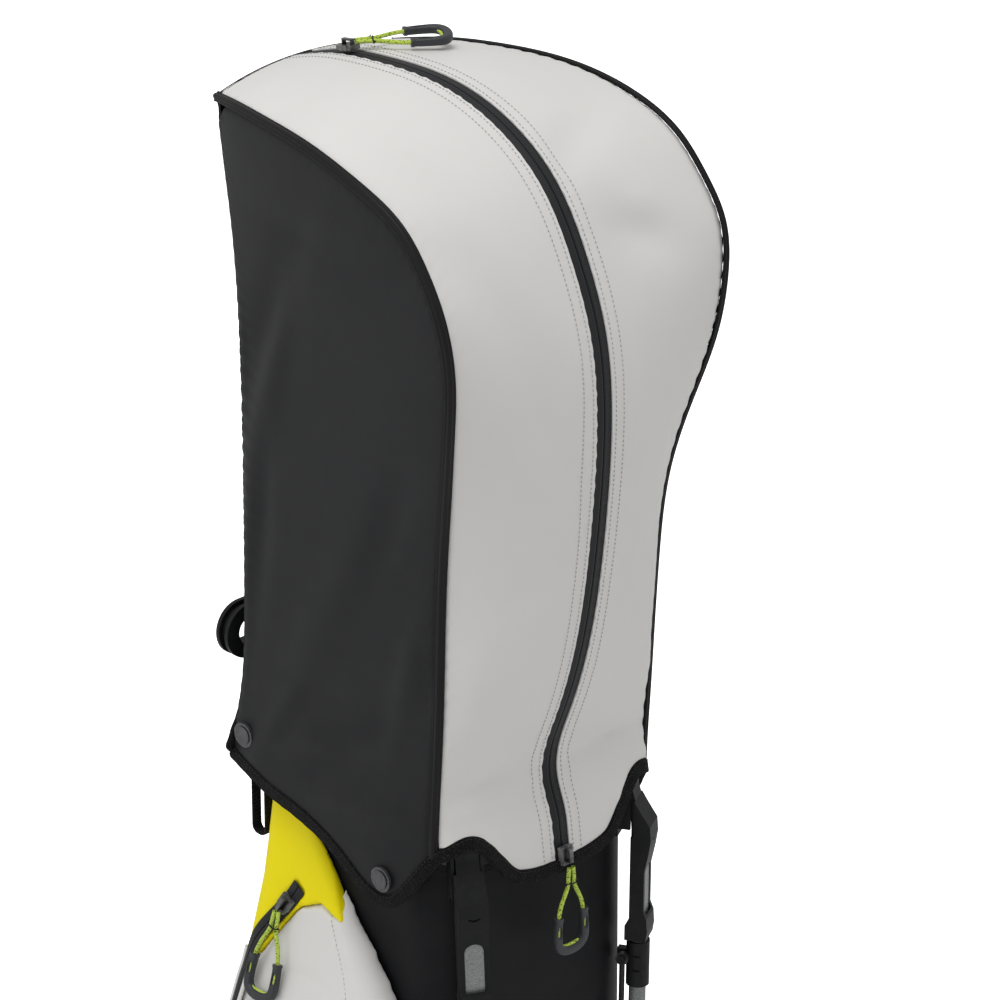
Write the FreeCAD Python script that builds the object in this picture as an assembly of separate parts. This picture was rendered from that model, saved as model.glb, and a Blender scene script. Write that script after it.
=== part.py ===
import FreeCAD, Part
import math
import os

# Golf stand bag with a zip-front rain hood. Millimetres.
# Origin: centre of the base on the floor. +Z up, -Y is the leg side (front), +Y the strap side.
# The left-hand half is the mirror image of the right-hand half wherever a function builds "one side".

V = FreeCAD.Vector
os.makedirs("parts", exist_ok=True)

# ---- bag body -------------------------------------------------------------------------------
HALF_W = 94.0            # half width of the body
FRONT = -86.0            # front face
BACK = 104.0             # back face
CORNER_R = 40.0          # corner radius of the body in plan
WALL = 2.5               # coated cloth wall with its lining foam
RIM_FRONT_Z = 816.0      # top rim at the front face
RIM_BACK_Z = 876.0       # top rim at the back face
CUFF_DEPTH = 22.0        # height of the moulded cuff, measured upright
CUFF_WALL = 9.0
GAP = 0.3                # space kept between two solids of one body
BOOT_H = 92.0            # moulded base boot
BOOT_OUT = 4.0           # boot wall outside the body
CAVITY_TOP = 58.0        # top of the hollow that takes the stand foot
CAVITY_HALF = 79.0
BOOT_FLOOR = 6.0
REST_FLOOR = 5.0
CAVITY_BACK = -4.0       # back wall of the hollow
# ---- stand foot and its hinge ---------------------------------------------------------------
FOOT_HINGE_Y = -12.0
FOOT_HINGE_Z = 16.0
FOOT_PIN_R = 2.5
FOOT_HALF = 76.0
FOOT_FRONT = -114.0
FOOT_Z0 = 4.0
FOOT_T = 5.0
SLOT_LEN = 13.6          # slot that lets the rod's cross pin lag the foot
SLOT_W = 9.0
LUG_HALF_GAP = 4.4       # middle of the rod to the inner face of each lug
LUG_T = 3.0
SLOT_UP = 3.4            # top of the slot above the pin at rest
# ---- legs -----------------------------------------------------------------------------------
SPLAY = 30.0             # plan angle between straight ahead and the way a leg swings
LEAN = 2.0               # the legs close toward the middle at the bottom by this angle
PIVOT_S = 47.5           # pivot distance from the corner centre, along the swing direction
PIVOT_Z = 812.0
PIVOT_BOSS_R = 5.0
PIVOT_PIN_R = 2.5
RUN_CLEAR = 0.06         # running clearance of every pin, on the radius
TUBE_X = 9.0             # tube axis outside the pivot
TUBE_R = 6.0
TUBE_WALL = 1.2
ARM_HALF = 10.4          # half width of the moulded arm
NECK_HALF = 8.2          # half width of the arm between the bracket's ears
EAR_FROM = 9.0           # inner face of each ear, from the middle of the leg
EAR_T = 2.4
TUBE_TOP = -109.6        # upper end of the tube, below the pivot
EYE_DROP = 134.0         # rod eye below the pivot
ROD_R = 2.0
CROSS_R = 2.3            # cross pin at the rod's lower end
ROD_Y = -9.0             # rod beside the leg, on the middle side
ROD_END_Z = 20.0         # height of the rod's cross pin above the floor
FOOT_END_Z = 46.0        # lower end of the leg's rubber foot
# ---- hood -----------------------------------------------------------------------------------
HOOD_T = 2.5
ZIP_HALF = 7.6
PIPE_R = 2.2
BIND_R = 3.1
SEAM_SPACE = 2.7         # panel edge to the line of the piping
# ---- pulls ----------------------------------------------------------------------------------
CORD_R = 1.5
STRAIGHT = 0.004         # a turn of less than twice this angle needs no arc
CORD_BEND = 0.45         # bend radius as a share of the shorter run, over tan(half the turn)
PULL_W = 12.0
PULL_TOP = 34.0
PULL_LOW = 62.0
TAB_R = 4.2
# hood shape, right half: front middle line, piping seam, back seam and back middle line (x, y, z)
FRONT_LINE = [(-105, 758), (-103, 776), (-100, 796), (-97, 816), (-89, 840), (-101, 893), (-123, 968), (-134, 1046),
              (-138, 1118), (-132, 1175), (-114, 1223), (-86, 1267), (-44, 1297), (7, 1312), (69, 1313),
              (118, 1307), (151, 1297)]
SEAM_LINE = [(99, -74, 758), (100, -78, 800), (100, -80, 838), (100, -82, 868), (100, -85, 918),
             (101, -88, 976), (104, -94, 1037), (111, -105, 1085), (121, -119, 1138), (125, -124, 1178),
             (128, -118, 1218), (127, -102, 1244), (126, -80, 1267), (125, -40, 1285), (119, 11, 1295),
             (106, 72, 1296), (94, 112, 1293), (80, 147, 1287)]
BACK_SEAM = [(98, 128, 758), (98, 129, 810), (96, 125, 840), (95, 118, 880), (95, 115, 925),
             (95, 114, 965), (95, 113, 1030), (95, 113, 1090), (94, 116, 1150), (91, 125, 1210),
             (86, 138, 1258), (80, 148, 1286)]
BACK_LINE = [(0, 124, 758), (0, 122, 820), (0, 120, 880), (0, 119, 950), (0, 119, 1030), (0, 121, 1110),
             (0, 127, 1180), (0, 138, 1240), (0, 152, 1294)]
# height of the hood's lower edge: against x on the front, y on the side, x on the back
EDGE_FRONT = [(0, 776), (30, 778), (49, 785), (56, 801), (62, 817),
              (72, 825), (82, 825), (90, 821), (99, 812)]
EDGE_SIDE = [(-80, 812), (-67, 788), (-54, 770), (-38, 764), (-20, 770), (0, 784), (20, 793), (47, 799),
             (86, 803), (108, 809), (130, 815)]
EDGE_BACK = [(0, 926), (50, 925), (68, 912), (80, 870), (88, 832), (99, 815)]
EDGE_CLEAR = BIND_R + 1.3     # panel edge to the middle of the binding
# how square the front is across its width, by height: 2 is a parabola, 12 is nearly flat with a tight corner
FRONT_POWER = [(820, 12.0), (860, 7.0), (920, 4.0), (1000, 2.4)]
SIDE_FULL = [(768, 12.0), (800, 11.0), (850, 6.0), (900, 4.0), (1200, 4.0), (1300, 2.0)]


# ---- small helpers --------------------------------------------------------------------------
def box(x0, x1, y0, y1, z0, z1):
    return Part.makeBox(x1 - x0, y1 - y0, z1 - z0, V(x0, y0, z0))


def cyl(base, axis, radius, height):
    return Part.makeCylinder(radius, height, base, axis)


def mirror(shape):
    return shape.mirror(V(0, 0, 0), V(1, 0, 0))


def join(shapes):
    whole = shapes[0]
    for shape in shapes[1:]:
        whole = whole.fuse(shape)
    return whole.removeSplitter()


def save(name, shape):
    solids = shape.Solids
    body = solids[0] if len(solids) == 1 else Part.makeCompound(solids)
    if not body.isValid():
        print("not valid:", name)
    print(name, "solids", len(solids), "cm3", round(body.Volume / 1000.0, 2))
    body.exportStep("parts/" + name + ".step")


def table(pairs, at):
    """Straight-line reading of a table of (place, value)."""
    if at <= pairs[0][0]:
        return pairs[0][1]
    for (a, fa), (b, fb) in zip(pairs, pairs[1:]):
        if at <= b:
            return fa + (fb - fa) * (at - a) / (b - a)
    return pairs[-1][1]


def plan(x0, x1, y0, y1, radius, z):
    """Rounded rectangle in plan, as a wire of four lines and four arcs."""
    edges = []
    corners = [(x1 - radius, y0 + radius, 270), (x1 - radius, y1 - radius, 0),
               (x0 + radius, y1 - radius, 90), (x0 + radius, y0 + radius, 180)]
    ends = []
    for cx, cy, start in corners:
        points = []
        for turn in (0, 45, 90):
            angle = math.radians(start + turn)
            points.append(V(cx + radius * math.cos(angle), cy + radius * math.sin(angle), z))
        ends.append(points)
    for index, points in enumerate(ends):
        edges.append(Part.Arc(points[0], points[1], points[2]).toShape())
        edges.append(Part.makeLine(points[2], ends[(index + 1) % 4][0]))
    return Part.Wire(edges)


def body_plan(out, z0, z1):
    """Prism with the outline of the bag body, moved outward by `out`."""
    wire = plan(-HALF_W - out, HALF_W + out, FRONT - out, BACK + out, CORNER_R + out, z0)
    return Part.Face(wire).extrude(V(0, 0, z1 - z0))


def rim_z(y):
    return RIM_FRONT_Z + (RIM_BACK_Z - RIM_FRONT_Z) * (y - FRONT) / (BACK - FRONT)


def rim_slab(above, below):
    """Sloping layer between two heights measured from the rim."""
    y0, y1 = FRONT - 60, BACK + 60
    corners = [(y0, rim_z(y0) + below), (y1, rim_z(y1) + below), (y1, rim_z(y1) + above),
               (y0, rim_z(y0) + above)]
    points = [V(-160, y, z) for y, z in corners]
    return Part.Face(Part.makePolygon(points + points[:1])).extrude(V(320, 0, 0))


def round_pipe(points, radius, bend=CORD_BEND, label=""):
    """Pipe along straight runs joined by tangent arcs."""
    edges = []
    last = points[0]
    radii = []
    for before, corner, after in zip(points, points[1:], points[2:]):
        a = (before - corner).normalize()
        b = (after - corner).normalize()
        half = (math.pi - a.getAngle(b)) / 2.0
        if half < STRAIGHT:
            continue
        run = bend * min((before - corner).Length, (after - corner).Length)
        arc_r = run / math.tan(half)
        radii.append(round(arc_r, 1))
        start = corner + a * run
        end = corner + b * run
        bisect = (a + b).normalize()
        middle = corner + bisect * (arc_r / math.cos(half) - arc_r)
        edges.append(Part.makeLine(last, start))
        edges.append(Part.Arc(start, middle, end).toShape())
        last = end
    edges.append(Part.makeLine(last, points[-1]))
    path = Part.Wire(edges)
    ring = Part.Wire([Part.makeCircle(radius, points[0], points[1] - points[0])])
    pipe = path.makePipeShell([ring], True, True)
    solid = Part.Solid(pipe) if not pipe.Solids else pipe.Solids[0]
    if label:
        print(label, "bend radii", radii, "length", round(path.Length, 1),
              "volume over section x length", round(solid.Volume / (math.pi * radius ** 2 * path.Length), 3))
    return solid


def strip(points_yz, thick, x0, x1):
    """Flat strap: a line in the YZ plane given a thickness, extruded across X."""
    front, back = [], []
    for index, (y, z) in enumerate(points_yz):
        before = points_yz[max(index - 1, 0)]
        after = points_yz[min(index + 1, len(points_yz) - 1)]
        dy, dz = after[0] - before[0], after[1] - before[1]
        size = math.hypot(dy, dz)
        ny, nz = -dz / size * thick / 2, dy / size * thick / 2
        front.append(V(x0, y + ny, z + nz))
        back.append(V(x0, y - ny, z - nz))
    outline = front + back[::-1]
    return Part.Face(Part.makePolygon(outline + outline[:1])).extrude(V(x1 - x0, 0, 0))


# ---- base -----------------------------------------------------------------------------------
def base_boot():
    boot = body_plan(BOOT_OUT, 0, BOOT_H)
    boot = boot.cut(body_plan(0.15, CAVITY_TOP + BOOT_FLOOR, BOOT_H + 1))
    boot = boot.cut(box(-CAVITY_HALF, CAVITY_HALF, FRONT - 20, CAVITY_BACK, -1, CAVITY_TOP))
    hollow = body_plan(-4.0, REST_FLOOR, CAVITY_TOP + BOOT_FLOOR + 1)
    hollow = hollow.common(box(-120, 120, CAVITY_BACK + 6, BACK, 0, BOOT_H))
    boot = boot.cut(hollow)
    pin = cyl(V(-88, FOOT_HINGE_Y, FOOT_HINGE_Z), V(1, 0, 0), FOOT_PIN_R + 0.1, 176)
    boot = boot.cut(pin)
    save("base_boot", boot)
    pin = cyl(V(-87, FOOT_HINGE_Y, FOOT_HINGE_Z), V(1, 0, 0), FOOT_PIN_R, 174)
    save("foot_hinge_pin", pin)


# ---- body shell, cuff, dividers -------------------------------------------------------------
def body_shell():
    outer = body_plan(0, CAVITY_TOP + BOOT_FLOOR + GAP, 900)
    inner = body_plan(-WALL, 0, 960)
    below_cuff = rim_slab(300, -CUFF_DEPTH)
    save("body_shell", outer.cut(inner).cut(below_cuff))
    cuff = body_plan(0, 700, 940).cut(body_plan(-CUFF_WALL, 600, 960))
    save("top_cuff", cuff.common(rim_slab(0, GAP - CUFF_DEPTH)))


def divider():
    depth = 12.0
    ring = body_plan(-CUFF_WALL - GAP, 700, 940).cut(body_plan(-CUFF_WALL - 4, 600, 960))
    bars = []
    inside = body_plan(-CUFF_WALL - 2, 700, 940)
    for x in (-32.0, 32.0):
        bars.append(box(x - 2.5, x + 2.5, FRONT, BACK, 700, 940))
    for y in (-42.0, 4.0, 50.0):
        bars.append(box(-HALF_W, HALF_W, y - 2.5, y + 2.5, 700, 940))
    grid = join([ring] + [bar.common(inside) for bar in bars])
    save("club_divider", grid.common(rim_slab(-4, -4 - depth)))
    walls = []
    for x in (-32.0, 32.0):
        wall = box(x - 1.0, x + 1.0, 2, BACK - CUFF_WALL - GAP, CAVITY_TOP + BOOT_FLOOR + 4, 900)
        walls.append(wall.cut(rim_slab(300, -4 - depth - GAP)))
    save("divider_walls", Part.makeCompound(walls))


def frame_stays():
    rods = []
    for x, y in ((-HALF_W + 7, 8), (HALF_W - 7, 8), (0, BACK - 7)):
        top = rim_z(y) - CUFF_DEPTH - 6
        rods.append(cyl(V(x, y, CAVITY_TOP + BOOT_FLOOR + 1), V(0, 0, 1), 2.5, top - CAVITY_TOP - BOOT_FLOOR - 1))
    save("frame_stays", Part.makeCompound(rods))


# ---- lift handle ----------------------------------------------------------------------------
HANDLE_Y0 = 134.5        # front face of the handle ring, behind the hood's back tips
HANDLE_DEPTH = 12.0
HANDLE_HALF = 92.0
HANDLE_Z = 898.0
HANDLE_HIGH = 40.0
HANDLE_STEM_X = 46.0
HANDLE_STEM_Z = 868.0    # underside of the two stems
HANDLE_SCREW_Z = 861.0


def stadium(half, high, y0, y1):
    radius = high / 2.0
    wire = plan(-half, half, HANDLE_Z - radius, HANDLE_Z + radius, radius - 0.01, 0)
    face = Part.Face(wire)
    face.rotate(V(0, 0, 0), V(1, 0, 0), 90)
    face.translate(V(0, y1, 0))
    return face.extrude(V(0, y0 - y1, 0))


def lift_handle():
    y0, y1 = HANDLE_Y0, HANDLE_Y0 + HANDLE_DEPTH
    ring = stadium(HANDLE_HALF, HANDLE_HIGH, y0, y1)
    ring = ring.cut(stadium(HANDLE_HALF - 11, HANDLE_HIGH - 20, y0 - 1, y1 + 1))
    groove = stadium(HANDLE_HALF + 1, HANDLE_HIGH + 2, y0 + 3.2, y1 - 3.2)
    groove = groove.cut(stadium(HANDLE_HALF - 3.5, HANDLE_HIGH - 7, y0, y1))
    ring = ring.cut(groove)
    stems = []
    for x in (-HANDLE_STEM_X, HANDLE_STEM_X):
        stem = box(x - 9, x + 9, BACK + GAP, y0 + 2, HANDLE_STEM_Z, HANDLE_Z - HANDLE_HIGH / 2 + 7)
        foot = box(x - 15, x + 15, BACK + GAP, BACK + 4, rim_z(BACK) - CUFF_DEPTH + 2, rim_z(BACK) - 2)
        bore = cyl(V(x, BACK - 5, HANDLE_SCREW_Z), V(0, 1, 0), 2.1, 14)
        stems.append(stem.fuse(foot).cut(bore))
    save("lift_handle", join([ring] + stems))
    screws = []
    for x in (-HANDLE_STEM_X, HANDLE_STEM_X):
        shaft = cyl(V(x, BACK + GAP, HANDLE_SCREW_Z), V(0, 1, 0), 2.0, 3.9)
        head = cyl(V(x, BACK + 4.15, HANDLE_SCREW_Z), V(0, 1, 0), 3.8, 1.8)
        screws.append(shaft.fuse(head))
    return screws


# ---- legs -----------------------------------------------------------------------------------
def leg_frame():
    """Placement that takes the leg's own frame (X outward, Z up the leg, origin on the pivot) to the bag."""
    splay = math.radians(SPLAY)
    out = V(math.sin(splay), -math.cos(splay), 0)
    side = V(math.cos(splay), math.sin(splay), 0)
    centre = V(HALF_W - CORNER_R, FRONT + CORNER_R, PIVOT_Z)
    lean = math.radians(LEAN)
    up = V(0, 0, 1) * math.cos(lean) + side * math.sin(lean)
    hinge = up.cross(out)
    turn = FreeCAD.Matrix(out.x, hinge.x, up.x, 0, out.y, hinge.y, up.y, 0, out.z, hinge.z, up.z, 0, 0, 0, 0, 1)
    return FreeCAD.Placement(centre + out * PIVOT_S, FreeCAD.Rotation(turn))


LEG = leg_frame()
LEG_LEN = (PIVOT_Z - FOOT_END_Z) / math.cos(math.radians(LEAN))
ROD_LEN = (PIVOT_Z - ROD_END_Z) / math.cos(math.radians(LEAN)) - EYE_DROP


def to_bag(shape):
    placed = shape.copy()
    placed.Placement = LEG.multiply(placed.Placement)
    return placed


def side_profile(points, half):
    """Closed outline in the leg's XZ plane, extruded across its width."""
    spots = [V(x, -half, z) for x, z in points]
    return Part.Face(Part.makePolygon(spots + spots[:1])).extrude(V(0, 2 * half, 0))


def leg_arm():
    outline = [(-3.5, -6), (-1.0, -16), (3.6, -22), (4.4, -34), (4.4, -102), (1.4, -108), (1.4, -119),
               (16.6, -119), (17.6, -112), (17.0, -102), (14.6, -96), (14.6, -66), (17.4, -52), (19.0, -41),
               (18.2, -31), (13.0, -23), (7.0, -13), (4.8, -5), (4.8, 0), (-3.5, 0)]
    arm = side_profile(outline, ARM_HALF)
    arm = arm.fuse(cyl(V(0, -ARM_HALF, 0), V(0, 1, 0), PIVOT_BOSS_R, 2 * ARM_HALF))
    arm = arm.cut(cyl(V(TUBE_X, 0, -130), V(0, 0, 1), TUBE_R + 0.1, TUBE_TOP + 0.4 + 130))
    arm = arm.cut(cyl(V(0, -20, 0), V(0, 1, 0), PIVOT_PIN_R + RUN_CLEAR, 40))
    for side in (-1, 1):
        low, high = sorted((side * ARM_HALF, side * NECK_HALF))
        arm = arm.cut(box(-12, 12, low, high, -13, 12))
        arm = arm.cut(box(-12, 6.5, low, high, -40, 12))
    slot = box(12.9, 16, -6.9, 6.9, -108.6, -70)
    slot = slot.fuse(cyl(V(12.9, 0, -70), V(1, 0, 0), 6.9, 4))
    arm = arm.cut(slot)
    groove = Part.makeTorus(5.2, 1.0, V(17.6, 0, -38), V(1, 0, 0.1))
    arm = arm.cut(groove)
    return arm.removeSplitter()


def leg_inlay():
    plate = box(13.0, 14.0, -6.7, 6.7, -108.4, -70)
    return plate.fuse(cyl(V(13.0, 0, -70), V(1, 0, 0), 6.7, 1.0)).removeSplitter()


def leg_tube():
    top = TUBE_TOP
    low = -LEG_LEN + 14.0
    tube = cyl(V(TUBE_X, 0, low), V(0, 0, 1), TUBE_R, top - low)
    return tube.cut(cyl(V(TUBE_X, 0, low - 1), V(0, 0, 1), TUBE_R - TUBE_WALL, top - low + 2))


def leg_clamp():
    z0, z1 = -EYE_DROP - 22.0, -EYE_DROP + 12.0
    ring = cyl(V(TUBE_X, 0, z0), V(0, 0, 1), 8.2, z1 - z0)
    lug = box(-5.0, 5.0, -4.6, 1.6, -EYE_DROP - 5, -EYE_DROP + 5)
    lug = lug.fuse(cyl(V(0, -4.6, -EYE_DROP), V(0, 1, 0), 5.0, 6.2))
    clamp = join([ring, lug])
    clamp = clamp.cut(cyl(V(TUBE_X, 0, z0 - 1), V(0, 0, 1), TUBE_R + 0.1, z1 - z0 + 2))
    for z in (z0 + 13.0, z0 + 24.0):
        clamp = clamp.cut(box(TUBE_X - 2, TUBE_X + 4, -9, -7.2, z - 0.8, z + 0.8))
        clamp = clamp.cut(box(TUBE_X - 2, TUBE_X + 4, 7.2, 9, z - 0.8, z + 0.8))
    pin = cyl(V(0, -12.4, -EYE_DROP), V(0, 1, 0), 2.0, 9.0)
    head = cyl(V(0, -12.9, -EYE_DROP), V(0, 1, 0), 3.2, 1.2)
    return join([clamp, pin, head])


def leg_foot():
    low = -LEG_LEN
    boot = cyl(V(TUBE_X, 0, low + 6), V(0, 0, 1), 9.4, 52)
    toe_out = [(TUBE_X - 5, low + 4), (TUBE_X + 3, low), (TUBE_X + 22, low + 9), (TUBE_X + 22, low + 15),
               (TUBE_X + 7, low + 34), (TUBE_X - 5, low + 30)]
    boot = boot.fuse(side_profile(toe_out, 9.0))
    boot = boot.cut(cyl(V(TUBE_X, 0, low + 13.6), V(0, 0, 1), TUBE_R + 0.1, 60))
    for step in range(3):
        boot = boot.cut(Part.makeTorus(9.8, 1.0, V(TUBE_X, 0, low + 40 + 6 * step), V(0, 0, 1)))
    return boot.removeSplitter()


def leg_rod():
    top, low = -EYE_DROP, -EYE_DROP - ROD_LEN
    rod = cyl(V(0, ROD_Y, low), V(0, 0, 1), ROD_R, ROD_LEN - 3.2)
    eye = cyl(V(0, ROD_Y - 2, top), V(0, 1, 0), 4.6, 4.0)
    cross = cyl(V(0, ROD_Y - 8, low), V(0, 1, 0), CROSS_R, 16)
    rod = rod.fuse(eye).fuse(cross)
    return rod.cut(cyl(V(0, ROD_Y - 9, top), V(0, 1, 0), 2.0 + RUN_CLEAR, 18))


def leg_bracket():
    """Plate on the body's corner with two ears for the leg's pivot."""
    half = EAR_FROM + EAR_T
    ears = []
    for y in (-half, EAR_FROM):
        ear = cyl(V(0, y, 0), V(0, 1, 0), PIVOT_BOSS_R, EAR_T)
        ear = ear.fuse(box(-16, 4.2, y, y + EAR_T, -34, 0))
        ears.append(ear)
    plate = box(-16, -4.4, -half, half, -40, -13)
    bracket = join(ears + [plate])
    bracket = bracket.cut(cyl(V(0, -20, 0), V(0, 1, 0), PIVOT_PIN_R + 0.1, 40))
    return to_bag(bracket).cut(body_plan(0.1, 600, 960))


def legs():
    half = EAR_FROM + EAR_T + 0.4
    pin = to_bag(cyl(V(0, -half, 0), V(0, 1, 0), PIVOT_PIN_R, 2 * half))
    bracket = leg_bracket()
    save("leg_brackets", Part.makeCompound([bracket, mirror(bracket)]))
    save("leg_pivot_pins", Part.makeCompound([pin, mirror(pin)]))
    pieces = (("arm", leg_arm()), ("inlay", leg_inlay()), ("tube", leg_tube()), ("clamp", leg_clamp()),
              ("foot", leg_foot()), ("rod", leg_rod()))
    for name, piece in pieces:
        placed = to_bag(piece)
        save("leg_" + name + "_right", placed)
        save("leg_" + name + "_left", mirror(placed))


# ---- stand foot -----------------------------------------------------------------------------
def stand_foot():
    wire = plan(-FOOT_HALF, FOOT_HALF, FOOT_FRONT, FOOT_HINGE_Y + 4, 12.0, FOOT_Z0)
    plate = Part.Face(wire).extrude(V(0, 0, FOOT_T))
    barrel = cyl(V(-FOOT_HALF, FOOT_HINGE_Y, FOOT_HINGE_Z), V(1, 0, 0), 6.0, 2 * FOOT_HALF)
    web = box(-FOOT_HALF, FOOT_HALF, FOOT_HINGE_Y - 5, FOOT_HINGE_Y + 4, FOOT_Z0, FOOT_HINGE_Z)
    ribs = []
    for x in (-24.0, 0.0, 24.0):
        outline = [(FOOT_HINGE_Y, FOOT_Z0 + 1), (FOOT_FRONT + 14, FOOT_Z0 + 1),
                   (FOOT_FRONT + 14, FOOT_Z0 + FOOT_T + 3), (FOOT_HINGE_Y, FOOT_HINGE_Z)]
        spots = [V(x - 1.5, y, z) for y, z in outline]
        ribs.append(Part.Face(Part.makePolygon(spots + spots[:1])).extrude(V(3, 0, 0)))
    foot = join([plate, barrel, web] + ribs)
    foot = foot.cut(cyl(V(-90, FOOT_HINGE_Y, FOOT_HINGE_Z), V(1, 0, 0), FOOT_PIN_R + RUN_CLEAR, 180))
    low = -EYE_DROP - ROD_LEN
    lugs = []
    for y in (ROD_Y - LUG_HALF_GAP - LUG_T, ROD_Y + LUG_HALF_GAP):
        lug = box(-7.4, 7.4, y, y + LUG_T, low - 14, low + 7.6)
        half = SLOT_W / 2.0
        slot = box(-half, half, y - 1, y + 4, low - SLOT_LEN + SLOT_UP, low + SLOT_UP)
        lugs.append(to_bag(lug.cut(slot)))
    rod_hole = to_bag(box(-half, half, ROD_Y - LUG_HALF_GAP, ROD_Y + LUG_HALF_GAP, low - 30, low + 1))
    above = box(-120, 120, -140, 20, FOOT_Z0 + 1, 60)
    for lug in lugs:
        kept = lug.common(above)
        foot = foot.fuse(kept).fuse(mirror(kept))
    drop = rod_hole.common(box(-120, 120, -140, 20, FOOT_Z0 + FOOT_T, 60))
    foot = foot.cut(drop).cut(mirror(drop))
    save("stand_foot", foot.removeSplitter())
    wire = plan(-FOOT_HALF + 6, FOOT_HALF - 6, FOOT_FRONT + 5, FOOT_HINGE_Y - 14, 9.0, 0.6)
    pad = Part.Face(wire).extrude(V(0, 0, FOOT_Z0 - 0.1 - 0.6))
    for step in range(6):
        y = FOOT_FRONT + 14 + 12 * step
        pad = pad.cut(box(-100, 100, y, y + 3, 0, 1.8))
    save("stand_foot_grip", pad)


# ---- hood -----------------------------------------------------------------------------------
def smooth(points, count):
    """Evenly spaced points on a smooth curve through the given ones."""
    curve = Part.BSplineCurve()
    curve.interpolate([V(*p) for p in points])
    return curve.discretize(count)


FINE = 60
SIDE_SHORT = 3           # the side panel stops this many rows short of the top back corner
DENSE = 1200             # points along a column before it is cut at the edge
F_PTS = smooth([(0, y, z) for y, z in FRONT_LINE], FINE)
S_PTS = smooth(SEAM_LINE, FINE)
B_PTS = smooth(BACK_SEAM, FINE)
K_PTS = smooth(BACK_LINE, FINE)


def front_point(i, x):
    """Front panel: the middle line runs into the seam, flat and square below, rounded above."""
    f, s = F_PTS[i], S_PTS[i]
    share = abs(x) / s.x
    bend = share ** table(FRONT_POWER, f.z)
    return V(x, f.y + (s.y - f.y) * bend, f.z + (s.z - f.z) * share ** 2)


def side_point(i, share):
    s, b = S_PTS[i], B_PTS[i]
    p = s + (b - s) * share
    full = table(SIDE_FULL, p.z) * math.sin(math.pi * share ** 0.6)
    return V(p.x + full, p.y, p.z)


def back_point(i, x):
    b, k = B_PTS[i], K_PTS[i]
    share = x / b.x
    return V(x, k.y + (b.y - k.y) * share ** 2, k.z + (b.z - k.z) * share ** 2)


def above_edge(column, edge, count):
    """Cut a column of points at the hood's lower edge and space the rest evenly."""
    curve = Part.BSplineCurve()
    curve.interpolate(column)
    dense = curve.discretize(DENSE)
    start = 1
    while dense[start].z < edge(dense[start]):
        start += 1
    before, after = dense[start - 1], dense[start]
    under = edge(before) - before.z
    over = after.z - edge(after)
    kept = dense[start:]
    if under > 0:
        kept = [before + (after - before) * (under / (under + over))] + kept
    return [kept[round(j * (len(kept) - 1) / (count - 1.0))] for j in range(count)]


def raised(pairs, at, rise):
    """Height of the line that runs `rise` away from an edge line, measured square to it."""
    best = 0.0
    for step in range(-8, 9):
        off = rise * step / 8.0
        best = max(best, table(pairs, at + off) + math.sqrt(rise * rise - off * off))
    return best


def edge_front(rise):
    return lambda p: raised(EDGE_FRONT, abs(p.x), rise)


def edge_side(rise):
    return lambda p: raised(EDGE_SIDE, p.y, rise)


def edge_back(rise):
    return lambda p: raised(EDGE_BACK, abs(p.x), rise)


def inner_grid(columns, thick):
    """The same grid of points moved inward, square to the skin."""
    inside = V(0, 10, 1040)
    grid = []
    for a, column in enumerate(columns):
        row = []
        for b, p in enumerate(column):
            du = columns[min(a + 1, len(columns) - 1)][b] - columns[max(a - 1, 0)][b]
            dv = column[min(b + 1, len(column) - 1)] - column[max(b - 1, 0)]
            n = du.cross(dv).normalize()
            if n.dot(p - inside) < 0:
                n = n * -1
            row.append(p - n * thick)
        grid.append(row)
    return grid


def column_edges(grid):
    edges = []
    for column in grid:
        curve = Part.BSplineCurve()
        curve.interpolate(column)
        edges.append(curve.toShape())
    return edges


def skin(columns, thick):
    """Closed solid from columns of points on its outer face, thickened inward.

    Each pair of neighbouring columns is joined by a ruled face."""
    inner = inner_grid(columns, thick)
    outer_edges = column_edges(columns)
    inner_edges = column_edges(inner)
    faces = [Part.makeRuledSurface(outer_edges[0], inner_edges[0]),
             Part.makeRuledSurface(outer_edges[-1], inner_edges[-1])]
    for a in range(len(columns) - 1):
        faces.append(Part.makeRuledSurface(outer_edges[a], outer_edges[a + 1]))
        faces.append(Part.makeRuledSurface(inner_edges[a], inner_edges[a + 1]))
        for end in (0, -1):
            one = Part.makeLine(columns[a][end], columns[a + 1][end])
            two = Part.makeLine(inner[a][end], inner[a + 1][end])
            faces.append(Part.makeRuledSurface(one, two))
    shell = Part.makeShell(faces)
    shell.sewShape(0.01)
    solid = Part.Solid(shell)
    if solid.Volume < 0:
        solid.reverse()
    return solid


def spread(low, high, count):
    return [low + (high - low) * n / (count - 1.0) for n in range(count)]


def hood_front():
    columns = []
    for n in range(17):
        share = 1 - (1 - n / 16.0) ** 1.6
        column = []
        for i in range(FINE):
            wide = S_PTS[i].x - SEAM_SPACE
            column.append(front_point(i, ZIP_HALF + 0.5 + (wide - ZIP_HALF - 0.5) * share))
        columns.append(above_edge(column, edge_front(EDGE_CLEAR), 34))
    return skin(columns, HOOD_T)


def hood_zip_tape():
    columns = []
    for x in spread(-ZIP_HALF, ZIP_HALF, 4):
        columns.append(above_edge([front_point(i, x) for i in range(FINE)], edge_front(EDGE_CLEAR), 34))
    return skin(columns, 2.0)


def seam_gap(line, i, toward, gap):
    """How far to step along `toward` to stand `gap` away from a seam line."""
    run = line[min(i + 1, FINE - 1)] - line[max(i - 1, 0)]
    lean = run.cross(toward).Length / (run.Length * toward.Length)
    return gap / max(lean, 0.35)


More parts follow.
